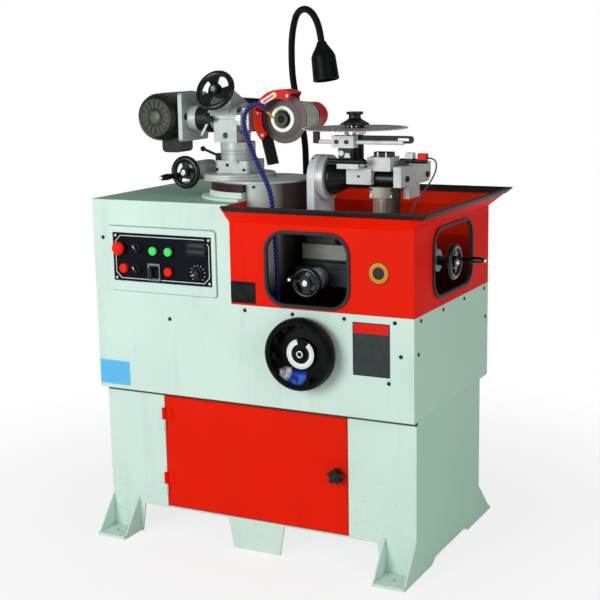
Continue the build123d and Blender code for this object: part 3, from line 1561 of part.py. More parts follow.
def clamp_knob():
    inner = arbor_thread_radius + running_fit
    body = turned((inner, 0), (clamp_base_radius - 12, 0), (clamp_base_radius - 12, 6),
                  (clamp_base_radius, 7),
                  (clamp_base_radius, 10), (clamp_neck_radius + 4, 20), (clamp_neck_radius, 24),
                  (clamp_neck_radius, clamp_height - 8), (clamp_top_radius, clamp_height - 5),
                  (clamp_top_radius, clamp_height), (inner, clamp_height))
    for index in range(clamp_notches):
        notch = Rot(0, 0, 360 / clamp_notches * index) * Pos(clamp_base_radius + 3, 0, 12)
        body -= notch * Cylinder(9, 16)
        body -= Rot(0, 0, 360 / clamp_notches * (index + 0.5)) * Pos(clamp_base_radius - 12, 0,
                                                                     3) * Sphere(2.2)
    for index in range(8):
        body -= Rot(0, 0, 45 * index) * Pos(clamp_top_radius + 2, 0, clamp_height) * Cylinder(4, 12)
    return Pos(blade_x, work_y, blade_top + slide_gap) * body


# Lamp and coolant
def lamp_gooseneck():
    neck, path = tube("lamp gooseneck", lamp_points, lamp_radius)
    x, y, z = lamp_points[0]
    base = Pos(x, y, cabinet_top) * turned((0, 0), (lamp_base_radius, 0), (lamp_base_radius, 5),
                                           (lamp_radius + 4, lamp_base_height), (0, lamp_base_height))
    return base + neck, path


def lamp_head(path):
    total = lamp_neck_length + lamp_head_length
    profile = turned((lamp_radius + fixed_fit, 0), (lamp_neck_radius, 0), (lamp_neck_radius + 3, 8),
                     (lamp_head_radius * 0.6, 18), (lamp_head_radius * 0.8, lamp_neck_length - 1),
                     (lamp_head_radius * 0.93, lamp_neck_length + 10), (lamp_head_radius, total),
                     (lamp_head_radius - lamp_wall, total),
                     (lamp_head_radius - lamp_wall, total - lamp_recess),
                     (0, total - lamp_recess), (0, lamp_socket), (lamp_radius + fixed_fit, lamp_socket))
    end = path @ 1
    along = path % 1
    return Plane(origin=end - along * lamp_socket, z_dir=along) * profile


def coolant_hose():
    # Ball-jointed hose: each bead is a ruled loft through four circles
    radii = corner_radii(hose_points)
    path = FilletPolyline(*hose_points, radius=radii)
    beads = round(path.length / hose_pitch)
    rings = []
    bores = []
    for index in range(beads):
        for share, radius in ((0.04, hose_neck_radius), (0.26, hose_radius), (0.74, hose_radius),
                              (0.96, hose_neck_radius)):
            place = (index + share) / beads
            if index == 0 and share == 0.04:
                place = 0
            if index == beads - 1 and share == 0.96:
                place = 1
            rings.append(Plane(origin=path @ place, x_dir=(1, 0, 0), z_dir=path % place) * Circle(radius))
        middle = (index + 0.5) / beads
        bores.append(Plane(origin=path @ middle, x_dir=(1, 0, 0),
                           z_dir=path % middle) * Circle(hose_bore))
    first = Plane(origin=path @ 0 - (path % 0) * 1, x_dir=(1, 0, 0), z_dir=path % 0) * Circle(hose_bore)
    last = Plane(origin=path @ 1 + (path % 1) * 1, x_dir=(1, 0, 0), z_dir=path % 1) * Circle(hose_bore)
    print("coolant hose length", round(path.length), "beads", beads, "least radius", round(min(radii)))
    hose = loft(rings, ruled=True) - loft([first] + bores + [last], ruled=True)
    return hose, path


def hose_nozzle(path):
    profile = turned((1.5, 0), (nozzle_radius + 1, 0), (nozzle_radius + 1, 5), (nozzle_radius, 6),
                     (nozzle_radius * 0.8, 12), (2.6, nozzle_length), (1.5, nozzle_length))
    return Plane(origin=path @ 1, z_dir=path % 1) * profile


def build():
    tray = splash_tray()
    gooseneck, lamp_path = lamp_gooseneck()
    hose, hose_path = coolant_hose()
    return {
        "lower_cabinet": lower_cabinet(),
        "upper_cabinet": upper_cabinet(),
        "splash_tray": tray,
        "rubber_edging": rubber_edging(tray),
        "cabinet_door": cabinet_door(),
        "door_knob": door_knob(),
        "control_panel": control_panel(),
        "emergency_stop": emergency_stop(),
        "start_button": push_button(start_place),
        "wheel_start_button": push_button(wheel_start_place),
        "stop_button": push_button(stop_place),
        "mode_selector": selector(mode_place),
        "cycle_selector": selector(cycle_place),
        "main_switch": main_switch(),
        "speed_knob": speed_knob(),
        "column": column(),
        "head_base": head_base(),
        "swivel_handwheel": swivel_handwheel(),
        "swivel_head": swivel_head(),
        "tilt_handwheel": tilt_handwheel(),
        "tilt_clamp_lever": tilt_clamp_lever(),
        "swivel_clamp_lever": swivel_clamp_lever(),
        "head_tube": head_tube(),
        "motor_body": motor_body(),
        "motor_rotor": motor_rotor(),
        "drive_belt": drive_belt(),
        "belt_housing": belt_housing(),
        "spindle_cap": spindle_cap(),
        "spindle_housing": spindle_housing(),
        "grinding_spindle": grinding_spindle(),
        "grinding_wheel": grinding_wheel(),
        "wheel_flange": wheel_flange(),
        "wheel_guard": wheel_guard(),
        "guard_flap": guard_flap(),
        "front_handwheel": front_handwheel(),
        "lift_shaft": lift_shaft(),
        "lift_screw": lift_screw(),
        "slide_bed": slide_bed(),
        "cross_screw": cross_screw(),
        "cross_handwheel": cross_handwheel(),
        "saddle": saddle(),
        "long_screw": long_screw(),
        "long_handwheel": long_handwheel(),
        "carriage": carriage(),
        "holder_post": holder_post(),
        "tilt_disc": tilt_disc(),
        "holder_bar": holder_bar(),
        "slider_block": slider_block(),
        "end_bracket": end_bracket(),
        "blade_sensor": blade_sensor(),
        "sensor_cable": sensor_cable(),
        "gear_motor": gear_motor(),
        "pawl_rod": pawl_rod(),
        "blade_arbor": blade_arbor(),
        "saw_blade": saw_blade(),
        "clamp_knob": clamp_knob(),
        "lamp_gooseneck": gooseneck,
        "lamp_head": lamp_head(lamp_path),
        "coolant_hose": hose,
        "hose_nozzle": hose_nozzle(hose_path),
    }


os.makedirs("parts", exist_ok=True)
for node, shape in build().items():
    export_step(shape, "parts/" + node + ".step")
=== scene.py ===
from math import cos, pi, radians, sin

import bmesh
import bpy
from mathutils import Matrix, Vector


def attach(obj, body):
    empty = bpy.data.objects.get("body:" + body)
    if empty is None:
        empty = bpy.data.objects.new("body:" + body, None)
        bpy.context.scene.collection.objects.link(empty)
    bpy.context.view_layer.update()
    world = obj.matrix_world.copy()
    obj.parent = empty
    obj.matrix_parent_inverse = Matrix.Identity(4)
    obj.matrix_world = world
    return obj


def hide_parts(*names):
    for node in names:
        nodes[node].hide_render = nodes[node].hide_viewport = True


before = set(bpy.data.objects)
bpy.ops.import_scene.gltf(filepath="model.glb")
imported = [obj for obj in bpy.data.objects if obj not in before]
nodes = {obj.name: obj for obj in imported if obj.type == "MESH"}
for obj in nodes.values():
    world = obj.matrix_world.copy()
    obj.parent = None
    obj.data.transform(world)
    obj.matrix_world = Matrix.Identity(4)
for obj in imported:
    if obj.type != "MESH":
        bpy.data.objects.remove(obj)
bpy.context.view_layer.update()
scene = bpy.context.scene
scene.view_settings.view_transform = "Standard"
mm = 0.001  # piece dictionaries are in millimetres
print("frame:", len(nodes), "nodes")

# Places that several pieces share
casingFront, panelFront, panelRaised, guardFront = -261, -265, -268, -78  # y of the faces
wheelAxis, motorAxis, liftAxis, crossAxis = (8, 1102), (-345, 1106), (165, 553), (150, 715)  # x and z
swivelAxis, speedAxis = (-234, 968), (-133, 727)
bladeAxis = (205.97, -50)  # x and y
longHeight, tubeHeight, discHeight = 760.8, 1102, 957
sharpAngle, bevelSamples = 38, 4


# A point on a circle that faces the front, or its centre
def frontSpot(centre, y, reach=0.0, angle=0.0):
    return centre[0] + reach * cos(radians(angle)), y, centre[1] + reach * sin(radians(angle))


def addObject(name, data):
    made = bpy.data.objects.new(name, data)
    scene.collection.objects.link(made)
    return made


def axesMatrix(x, y, z, point):
    return Matrix([[x[i], y[i], z[i], point[i]] for i in range(3)] + [[0, 0, 0, 1]])


# Camera at the photograph's place
cameraView = dict(azimuth=27.27, elevation=11.13, roll=-1.05, distance=3395.83, target=(17.82, 0, 622.45),
    lens=76.745, sensor=36)


def placeCamera(view):
    turn, rise, roll = (radians(view[key]) for key in ("azimuth", "elevation", "roll"))
    back = Vector((sin(turn) * cos(rise), -cos(turn) * cos(rise), sin(rise)))
    right = Vector((cos(turn), sin(turn), 0))
    up = back.cross(right)
    side = right * cos(roll) + up * sin(roll)
    top = up * cos(roll) - right * sin(roll)
    eye = (Vector(view["target"]) + back * view["distance"]) * mm
    data = bpy.data.cameras.new("photoCamera")
    data.sensor_width = view["sensor"]
    data.lens = view["lens"]
    scene.camera = addObject("photoCamera", data)
    scene.camera.matrix_world = axesMatrix(side, top, back, eye)


placeCamera(cameraView)
print("camera placed")


# Node helpers. Nodes go into the tree that was begun last; shader nodes go by their short names.
bench = {}


def linear(code):
    parts = [int(code[i:i + 2], 16) / 255 for i in (1, 3, 5)]
    return tuple(p / 12.92 if p <= 0.04045 else ((p + 0.055) / 1.055) ** 2.4 for p in parts) + (1,)


def feed(node, inputs):
    # Sockets are linked, colour codes are read and other values are set
    for key, value in inputs.items():
        if isinstance(value, bpy.types.NodeSocket):
            node.id_data.links.new(value, node.inputs[key])
        elif isinstance(value, str) and value.startswith("#"):
            node.inputs[key].default_value = linear(value)
        else:
            node.inputs[key].default_value = value


def put(kind, inputs=None, **settings):
    made = bench["tree"].nodes.new(kind if "Node" in kind else "ShaderNode" + kind)
    for key, value in settings.items():
        setattr(made, key, value)
    feed(made, inputs or {})
    return made


def out(kind, inputs=None, **settings):
    return put(kind, inputs, **settings).outputs[0]


def maths(operation, a, b=0.0, c=0.0, clamp=False):
    return out("Math", {0: a, 1: b, 2: c}, operation=operation, use_clamp=clamp)


def times(a, b, clamp=False):
    return maths("MULTIPLY", a, b, clamp=clamp)


def plus(a, b, clamp=False):
    return maths("ADD", a, b, clamp=clamp)


def between(value, low, high):
    return times(maths("GREATER_THAN", value, low), maths("LESS_THAN", value, high))


def vectors(operation, a, b=(0, 0, 0)):
    made = put("VectorMath", {0: a, 1: b}, operation=operation)
    return made.outputs["Value" if operation in ("DOT_PRODUCT", "LENGTH") else "Vector"]


def spread(value, low, high, toLow=0.0, toHigh=1.0):
    return put("MapRange", {"Value": value, "From Min": low, "From Max": high, "To Min": toLow,
        "To Max": toHigh}).outputs[0]


def blend(share, a, b, how="MIX"):
    return put("Mix", {0: share, 6: a, 7: b}, data_type="RGBA", blend_type=how).outputs[2]


def shaded(colour, shade):
    grey = out("CombineColor", {0: shade, 1: shade, 2: shade})
    return blend(1.0, colour, grey, "MULTIPLY")


def noise(place, scale, detail=2.0, rough=0.5):
    return put("TexNoise", {"Vector": place, "Scale": scale, "Detail": detail, "Roughness": rough}).outputs[0]


def objectSpot():
    return put("TexCoord").outputs["Object"]


def axesOf(vector):
    return put("SeparateXYZ", {0: vector}).outputs


def roundedNormal(radius):
    return out("Bevel", {"Radius": radius}, samples=bevelSamples)


def newGroup(name, inputs, outputs):
    group = bench["tree"] = bpy.data.node_groups.new(name, "ShaderNodeTree")
    number, direction, tint = "NodeSocketFloat", "NodeSocketVector", "NodeSocketColor"
    for label, value in inputs.items():
        kind = {3: direction, 4: tint}[len(value)] if isinstance(value, tuple) else number
        group.interface.new_socket(label, in_out="INPUT", socket_type=kind).default_value = value
    for label in outputs:
        group.interface.new_socket(label, in_out="OUTPUT", socket_type=tint if label == "Color" else number)
    return group, put("NodeGroupInput").outputs, put("NodeGroupOutput")


# Sprayed enamel: broad mottle, orange peel and soil that gathers low down
def makePaintSkin():
    group, start, end = newGroup("paintSkin", {"Colour": (1, 1, 1, 1), "Soil Colour": (0.2, 0.2, 0.18, 1),
        "Mottle": 0.06, "Soil": 0.2, "Peel": 0.4, "Gloss Change": 0.1}, ["Color", "Roughness", "Height"])
    spot = objectSpot()
    broad = noise(spot, 4.5, 3)
    shade = maths("MULTIPLY_ADD", spread(broad, 0.3, 0.7, -1, 1), start["Mottle"], 1.0)
    colour = shaded(start["Colour"], shade)
    # Streaks run down the sheet, and the lowest part is the dirtiest
    tall = out("Mapping", {"Vector": spot, "Scale": (26, 26, 2.2)})
    streak = spread(noise(tall, 1.0, 4, 0.62), 0.56, 0.8)
    low = spread(axesOf(spot)[2], 0.42, 0.02)
    specks = spread(noise(spot, 70, 4, 0.7), 0.6, 0.78)
    soil = plus(times(streak, 0.35), times(specks, low))
    soil = times(soil, start["Soil"], True)
    dull = plus(soil, maths("SUBTRACT", broad, 0.5))
    feed(end, {"Color": blend(soil, colour, start["Soil Colour"]), "Roughness": times(dull,
        start["Gloss Change"]), "Height": times(noise(spot, 420, 2), start["Peel"])})
    return group


# Bright worn line along the edges, from how far a rounded normal leaves the flat one
def makeEdgeWear():
    group, start, end = newGroup("edgeWear", {"Radius": 0.002, "Amount": 0.5, "Patch Scale": 60.0}, ["Mask"])
    flat = put("NewGeometry").outputs["Normal"]
    facing = vectors("DOT_PRODUCT", roundedNormal(start["Radius"]), flat)
    edge = spread(facing, 0.985, 0.8)
    patch = spread(noise(objectSpot(), start["Patch Scale"], 4, 0.65), 0.42, 0.62)
    feed(end, {"Mask": times(times(edge, patch), start["Amount"], True)})
    return group


# Fine parallel tool lines, stretched along one direction
def makeBrushLines():
    group, start, end = newGroup("brushLines", {"Stretch": (40, 900, 900), "Contrast": 0.2}, ["Shade",
        "Height"])
    lines = noise(vectors("MULTIPLY", objectSpot(), start["Stretch"]), 1.0, 3, 0.6)
    centred = times(maths("SUBTRACT", lines, 0.5), start["Contrast"])
    feed(end, {"Shade": plus(centred, 1.0), "Height": lines})
    return group


# Filled and painted casting: soft lumps, fine grain, oil stain
def makeCastSkin():
    group, start, end = newGroup("castSkin", {"Colour": (0.5, 0.5, 0.5, 1),
        "Stain Colour": (0.1, 0.09, 0.07, 1), "Stain": 0.3, "Grain": 0.5}, ["Color", "Roughness", "Height"])
    spot = objectSpot()
    cloud = noise(spot, 22, 4, 0.6)
    stain = times(spread(cloud, 0.48, 0.78), start["Stain"], True)
    fine = noise(spot, 240, 3)
    dusky = blend(times(fine, 0.16), start["Colour"], (0.05, 0.05, 0.05, 1))
    lumps = times(noise(spot, 60, 2), 0.7)
    feed(end, {"Color": blend(stain, dusky, start["Stain Colour"]),
        "Roughness": spread(cloud, 0.3, 0.7, -0.08, 0.12), "Height": plus(lumps, times(fine, start["Grain"]))})
    return group


# Share of a point inside a box, with a soft border
def makeBoxMask():
    group, start, end = newGroup("boxMask", {"Low": (0, 0, 0), "High": (1, 1, 1), "Soft": 0.0005}, ["Mask"])
    spot = objectSpot()
    above = vectors("SUBTRACT", spot, start["Low"])
    below = vectors("SUBTRACT", start["High"], spot)
    x, y, z = axesOf(vectors("MINIMUM", above, below))
    depth = maths("MINIMUM", x, maths("MINIMUM", y, z))
    feed(end, {"Mask": plus(maths("DIVIDE", depth, start["Soft"]), 0.5, True)})
    return group


paintSkin, edgeWear = makePaintSkin(), makeEdgeWear()
brushLines, castSkin, boxMask = makeBrushLines(), makeCastSkin(), makeBoxMask()
print("shader groups made")


# Materials
def emptyMaterial(name):
    material = bpy.data.materials.new(name)
    material.use_nodes = True
    bench["tree"] = material.node_tree
    material.node_tree.nodes.clear()


def newMaterial(name):
    emptyMaterial(name)
    skin = put("BsdfPrincipled")
    put("OutputMaterial", {0: skin.outputs[0]})
    return skin


def useGroup(group, inputs):
    return put("Group", inputs, node_tree=group).outputs


def dress(skin, colour, rough, metal=0.0, specular=0.5, coat=0.0):
    feed(skin, {"Base Color": colour, "Roughness": rough, "Metallic": metal, "Specular IOR Level": specular,
        "Coat Weight": coat, "Coat Roughness": 0.12})


def relief(skin, height, strength, depth, edge):
    bump = put("Bump", {"Strength": strength, "Distance": depth, "Height": height,
        "Normal": roundedNormal(edge)})
    feed(skin, {"Normal": bump.outputs[0]})


def worn(colour, look, radius, scale):
    mask = useGroup(edgeWear, {"Radius": radius, "Amount": look["wear"], "Patch Scale": scale})["Mask"]
    return blend(mask, colour, look["bare"])


def boxShare(box, soft=0.4):
    # box: x0, x1, y0, y1, z0, z1 in millimetres
    return useGroup(boxMask, {"Low": [v * mm for v in box[::2]], "High": [v * mm for v in box[1::2]],
        "Soft": soft * mm})["Mask"]


def patched(colour, look):
    # Other colours by place: a box, and a fade along one axis where one is given
    # Some patches are the thing's own colours, others are painted light and shade
    for patch in look.get("patches", []):
        share = boxShare(patch["box"], patch.get("soft", 0.4))
        if "fade" in patch:
            axis, start, end = patch["fade"]
            value = axesOf(objectSpot())["xyz".index(axis)]
            share = times(share, spread(value, start * mm, end * mm))
        colour = blend(share, colour, patch["colour"])
    return colour


def enamel(skin, look):
    look = {"dirt": "#6b6a58", "mottle": 0.05, "peel": 0.4, "specular": 0.22, "wear": 0.0} | look
    paint = useGroup(paintSkin, {"Colour": look["colour"], "Soil Colour": look["dirt"],
        "Mottle": look["mottle"], "Soil": look["soil"], "Peel": look["peel"], "Gloss Change": 0.2})
    colour = worn(paint["Color"], look, 0.0022, 45.0) if look["wear"] else paint["Color"]
    dress(skin, patched(colour, look), plus(paint["Roughness"], look["rough"], True), specular=look["specular"])
    relief(skin, paint["Height"], 0.12, 0.0006, 0.0018)


def casting(skin, look):
    look = {"dirt": "#3a382f", "grain": 0.4, "wear": 0.4, "bare": "#c9cbc8"} | look
    cast = useGroup(castSkin, {"Colour": look["colour"], "Stain Colour": look["dirt"], "Stain": look["stain"],
        "Grain": look["grain"]})
    colour = worn(cast["Color"], look, 0.002, 80.0)
    dress(skin, patched(colour, look), plus(cast["Roughness"], look["rough"], True), specular=0.35,
        metal=look["metal"])
    relief(skin, cast["Height"], 0.2, 0.0008, 0.0016)


def machined(skin, look):
    look = {"stretch": (60, 900, 900), "contrast": 0.35, "dirt": "#4a463c", "wear": 0.3, "bare": "#f0f0ee",
        "metal": 1.0} | look
    lines = useGroup(brushLines, {"Stretch": look["stretch"], "Contrast": look["contrast"]})
    stain = spread(noise(objectSpot(), 30, 4, 0.62), 0.5, 0.8, 0, look["stain"])
    colour = shaded(look["colour"], lines["Shade"])
    colour = worn(blend(stain, colour, look["dirt"]), look, 0.0012, 120.0)
    rough = spread(lines["Height"], 0.3, 0.7, look["rough"] - 0.05, look["rough"] + 0.08)
    dress(skin, patched(colour, look), plus(rough, times(stain, 0.5), True), metal=look["metal"])
    relief(skin, lines["Height"], 0.08, 0.0003, 0.0012)


def moulded(skin, look):
    look = {"dirt": "#8c8a80", "wear": 0.15, "bare": "#77777a", "specular": 0.2, "coat": 0.0, "bump": 0.08,
        "grainScale": 700} | look
    spot = objectSpot()
    haze = noise(spot, 55, 4, 0.65)
    colour = blend(spread(haze, 0.45, 0.8, 0, look["dust"]), look["colour"], look["dirt"])
    colour = patched(worn(colour, look, 0.0012, 150.0), look)
    dress(skin, colour, spread(haze, 0.3, 0.75, look["rough"], look["rough"] + 0.16), specular=look["specular"],
        coat=look["coat"])
    relief(skin, noise(spot, look["grainScale"], 2), look["bump"], 0.0002, 0.0008)


# Two finishes on one node: inside any of the boxes the near finish shows
def splitByPlace(skin, look):
    look = {"dirt": "#3d3a33", "wear": 0.35, "bare": "#d9dad8"} | look
    near, far = look["near"], look["far"]
    mask = boxShare(look["boxes"][0])
    for box in look["boxes"][1:]:
        mask = maths("MAXIMUM", mask, boxShare(box))
    lines = useGroup(brushLines, {"Stretch": (70, 850, 850), "Contrast": 0.3})
    colour = blend(mask, far["colour"], near["colour"])
    colour = shaded(colour, lines["Shade"])
    stain = spread(noise(objectSpot(), 40, 4, 0.6), 0.5, 0.8, 0, 0.25)
    colour = worn(blend(stain, colour, look["dirt"]), look, 0.0012, 120.0)
    rough, metal = (plus(times(mask, near[key] - far[key]), far[key]) for key in ("rough", "metal"))
    dress(skin, colour, plus(rough, times(stain, 0.4), True), metal=metal, specular=0.2)
    relief(skin, lines["Height"], 0.08, 0.0003, 0.0012)


# Rings of colour round an axis, for turned pieces
def ringed(skin, look):
    look = {"grain": 90, "low": 0.85, "specular": 0.5, "bump": 0.15, "wear": 0.3, "bare": "#cfcfca"} | look
    spot = objectSpot()
    across = tuple(0.0 if letter == look["axis"] else 1.0 for letter in "xyz")
    away = vectors("SUBTRACT", spot, tuple(c * mm for c in look["centre"]))
    reach = vectors("LENGTH", vectors("MULTIPLY", away, across))
    border = 0.3  # half the width of the step from one ring to the next
    colour = look["bands"][0][1]
    for radius, code in look["bands"][1:]:
        step = spread(reach, (radius - border) * mm, (radius + border) * mm)
        colour = blend(step, colour, code)
    # Turning marks follow the rings
    groove = out("TexNoise", {"W": times(reach, 1600)}, noise_dimensions="1D")
    grain = noise(spot, look["grain"], 4, 0.65)
    mixed = plus(times(groove, 0.5), times(grain, 0.5))
    colour = shaded(colour, spread(mixed, 0.3, 0.7, look["low"], 1.08))
    dress(skin, worn(colour, look, 0.001, 120.0), spread(mixed, 0.3, 0.7, look["rough"] - 0.06,
        look["rough"] + 0.1), metal=look["metal"], specular=look["specular"])
    relief(skin, mixed, look["bump"], 0.0004, 0.0008)


# Looks. dirt and bare are the colours of dirt and of worn edges, and on lists the nodes with that look
def tinted(colour, **values):
    return {"colour": colour, **values}


redPaint = tinted("#e91c02", dirt="#5a1206", soil=0.2, rough=0.5, specular=0.06, wear=0.25, bare="#7a1407")
enamels = {
    "doorRed": dict(on="cabinet_door", **redPaint),
    "cabinetWhite": tinted("#d3eae0", on="lower_cabinet upper_cabinet", dirt="#7d8a78", mottle=0.035, soil=0.42,
        peel=0.5, rough=0.42, specular=0.1, wear=0.25, bare="#8d978f", patches=[
        # painted shade: the cabinet's top face is painted darker and greener than the front
        tinted("#9fc1b1", box=(-460, 460, -300, 300, 904, 905.3)),
        # painted light: the right sides of the upper and lower cabinet are painted a lighter, greener white
        tinted("#cff3e0", box=(449.6, 452, -262, 262, 402, 904), soft=0.2),
        tinted("#c9f0d9", box=(444.6, 446, -236, 262, 0, 402), soft=0.2),
        # painted shadow: a dark line on the lower front, under the upper cabinet's overhang
        tinted("#4d5846", box=(-446, 446, -237, -226, 389, 403.5), soft=1.2)]),
    "trayRed": dict(on="splash_tray", **redPaint, patches=[
        # painted light: the rear wall, the front flare and the right side of the tray are painted a brighter
        # red
        tinted("#ff2a06", box=(-45, 520, 150, 320, 780, 912)),
        tinted("#ff1e02", box=(-45, 520, -330, -260.2, 862.5, 912)),
        tinted("#ff1200", box=(449.6, 520, -330, 330, 600, 912)),
        # painted shade: the tray's inside walls darken towards the bottom, nearly black at the front and middle
        tinted("#4a0a06", box=(-38.5, 448.5, 200, 259.5, 600, 863), fade=("z", 800, 660)),
        tinted("#120302", box=(-38.5, 448.5, -259.5, 200, 600, 863), fade=("z", 850, 730))]),
    "guardRed": tinted("#e2200a", on="wheel_guard spindle_cap", dirt="#4a150a", mottle=0.07, soil=0.3,
        rough=0.42, specular=0.1, wear=0.5, bare="#f2a898"),
    "panelBlack": tinted("#0b1117", on="control_panel", dirt="#3b4144", soil=0.06, rough=0.45, specular=0.05,
        wear=0.3, bare="#6d7478"),
    "coverBlack": tinted("#161718", on="belt_housing", dirt="#4b4a46", soil=0.2, rough=0.4, patches=[
        tinted("#d81c06", box=(-30, 80, 83, 120, 1040, 1160))]),
    "lampBlack": tinted("#06080a", on="lamp_head lamp_gooseneck", dirt="#24282a", soil=0.08, rough=0.45,
        specular=0.12, wear=0.2, bare="#55595b"),
    # painted shade: grey-green for the line round the control panel's bezel, where its edge is in shade
    "seamGreen": tinted("#8fa496", soil=0.1, rough=0.6, specular=0.05),
}
mouldings = {
    "edgingRubber": tinted("#23262d", on="rubber_edging", dust=0.2, dirt="#565a62", rough=0.45, bump=0.2,
        grainScale=350, wear=0.3, bare="#5d6470", patches=[
        # painted shade: dark red-brown on the column seal, filling the shadowed gap under the head base
        tinted("#3b1a1e", box=(-220, -42, -220, 120, 907.5, 960)),
        tinted("#14171d", box=(-41.9, 560, -340, 340, 890, 930))]),
    "flapRubber": tinted("#171513", on="guard_flap", dust=0.25, dirt="#4b443c", rough=0.55, bump=0.3,
        grainScale=300),
    "stopRed": tinted("#fb1e04", on="emergency_stop stop_button blade_sensor", dust=0.02, rough=0.34,
        specular=0.1, wear=0.1),
    "startGreen": tinted("#4be35f", on="start_button wheel_start_button", dust=0.05, rough=0.28, coat=0.1,
        wear=0.1),
    "knobBlack": tinted("#121314",
        on="mode_selector cycle_selector main_switch speed_knob door_knob swivel_clamp_lever", dust=0.08,
        rough=0.34),
    "wheelBlack": tinted("#090a0b", on="swivel_handwheel tilt_handwheel cross_handwheel long_handwheel",
        dust=0.05, rough=0.16, coat=0.35, bump=0.04, wear=0.1),
    "liftBlack": tinted("#060708", on="front_handwheel", dust=0.02, rough=0.36, specular=0.09, bump=0.04,
        wear=0.1, patches=[
        # painted reflection: blue and white patches on the wheel's dish, for a reflection of the surroundings
        tinted("#2148c0", box=(134, 171, -300, -262, 478, 503), soft=12),
        tinted("#4f8ede", box=(152, 168, -300, -262, 476, 494), soft=14),
        tinted("#f0f2fa", box=(117, 130, -300, -262, 480, 510), soft=11)]),
    "whiteMark": tinted("#eef0ee", dust=0.12, rough=0.5),
    "redMark": tinted("#d81a2a", dust=0.1, rough=0.4),
    "tickBlack": tinted("#22252a", dust=0.1, rough=0.5),
    "signOrange": tinted("#d98a1e", dust=0.1, rough=0.4),
    "hoseBlue": tinted("#0a1274", on="coolant_hose", dust=0.06, dirt="#6a74b8", rough=0.16, coat=0.5, wear=0.25,
        bare="#8a94e0"),
    "cableGrey": tinted("#4a4e58", on="sensor_cable", dust=0.15, rough=0.45),
    "beltRubber": tinted("#191919", on="drive_belt", dust=0.3, rough=0.6, bump=0.3, grainScale=260),
}
greyPaint = dict(stain=0.25, rough=0.36, metal=0.2, wear=0.5)
castings = {
    "headGrey": tinted("#bcc6c3", on="swivel_head", **greyPaint),
    "tubeGrey": tinted("#c4cecb", on="head_tube", **greyPaint, patches=[
        tinted("#121314", box=(-240, -199, -100, 0, 1050, 1150))]),
    "baseGrey": tinted("#d0d8d4", on="head_base", **greyPaint),
    "columnGrey": tinted("#cbd8d3", on="column", stain=0.3, rough=0.4, metal=0.1, dirt="#4a3d33", patches=[
        # painted light and shade: lighter low down where the window shows it, brown towards the right side,
        # black to the right and at the bottom
        tinted("#f2faf6", box=(-200, 200, -200, 200, 600, 820)),
        tinted("#35281f", box=(-200, 200, -200, 200, 600, 960), fade=("x", -5, 45)),
        tinted("#0b0a09", box=(-200, 200, -200, 200, 600, 875), fade=("x", 22, 60)),
        tinted("#0b0a09", box=(-200, 200, -200, 200, 600, 960), fade=("z", 735, 665))]),
    "postGrey": tinted("#dfe6ea", on="holder_post", stain=0.12, rough=0.42, metal=0.05),
    "spindleGrey": tinted("#c9cfc6", on="spindle_housing", stain=0.15, rough=0.42, metal=0.1),
    "saddleOlive": tinted("#7f8478", on="saddle", stain=0.4, rough=0.4, metal=0.4, patches=[
        tinted("#15181a", box=(0, 500, -300, 300, 600, 756))]),
    "bedBlack": tinted("#202427", on="slide_bed carriage", stain=0.4, rough=0.4, metal=0.3, bare="#5b6064"),
    "gearBeige": tinted("#a8a190", on="gear_motor", stain=0.3, rough=0.36, metal=0.3, grain=0.3, bare="#d8d2c0",
        patches=[
        # painted shade: the gear motor darkens towards its right side
        tinted("#3d3b33", box=(240, 360, -120, 20, 800, 1000), fade=("x", 282, 322))]),
    "badgeOlive": tinted("#5b6050", stain=0.2, rough=0.36, metal=0.1, grain=0.3),
}
screwSteel = dict(rough=0.36, stain=0.1, contrast=0.2, metal=0.2)
steels = {
    "brightSteel": tinted("#d6d8d6", on="motor_rotor lift_shaft lift_screw blade_arbor", rough=0.2, stain=0.15,
        stretch=(90, 900, 900)),
    "noseSteel": tinted("#d6d8d6", on="grinding_spindle", rough=0.24, stain=0.15, patches=[
        tinted("#101112", box=(-40, 60, -200, -60, 1050, 1150))]),
    "longSteel": tinted("#808c99", on="long_screw", **screwSteel, patches=[
        tinted("#111214", box=(428.5, 600, -200, 100, 700, 820))]),
    "crossSteel": tinted("#8b97a4", on="cross_screw", **screwSteel),
    "collarChrome": tinted("#dfe3e6", rough=0.12, stain=0.1, contrast=0.15),
    "blackSteel": tinted("#101417", on="holder_bar clamp_knob", rough=0.32, stain=0.12, metal=0.3,
        bare="#8a8c8e", dirt="#3c3a36"),
    "screwBlack": tinted("#161718", rough=0.36, metal=0.4, stain=0.1, bare="#6e7072"),
    "nozzleBrass": tinted("#d9a33a", on="hose_nozzle", rough=0.26, stain=0.25, dirt="#5c4416"),
    "borderSilver": tinted("#c3c8cb", rough=0.3, metal=0.7, stain=0.1),
    "switchGrey": tinted("#6f7986", rough=0.35, metal=0.3, stain=0.1),
}
silver = tinted("#d6dddc", rough=0.46, metal=0.08)
dark = tinted("#141618", rough=0.4, metal=0.1)
pale = tinted("#e6e6e0", rough=0.46, metal=0.1)
splits = {
    "pawlSteel": dict(on="pawl_rod", near=dark, far=pale, boxes=[(240, 400, -92.5, 0, 1000, 1100),
        (100, 131, -130, 0, 1000, 1100)]),
    "sliderSteel": dict(on="slider_block", near=dark, far=silver, boxes=[(185, 221, -107, -89, 997.3, 1035.9),
        (183, 229, -73, -27, 997.3, 1066), (150, 265, -116, -94.9, 997.3, 1012),
        (265, 312, -73, -43, 1012.3, 1026)]),
    "bracketSteel": dict(on="end_bracket", near=dark, far=silver, boxes=[(300, 420, -100, 0, 990.5, 1009.5)]),
    "tiltLeverSteel": dict(on="tilt_clamp_lever", near=dark, far=pale,
        boxes=[(-400, 400, -300, 300, 1090, 1200)]),
}
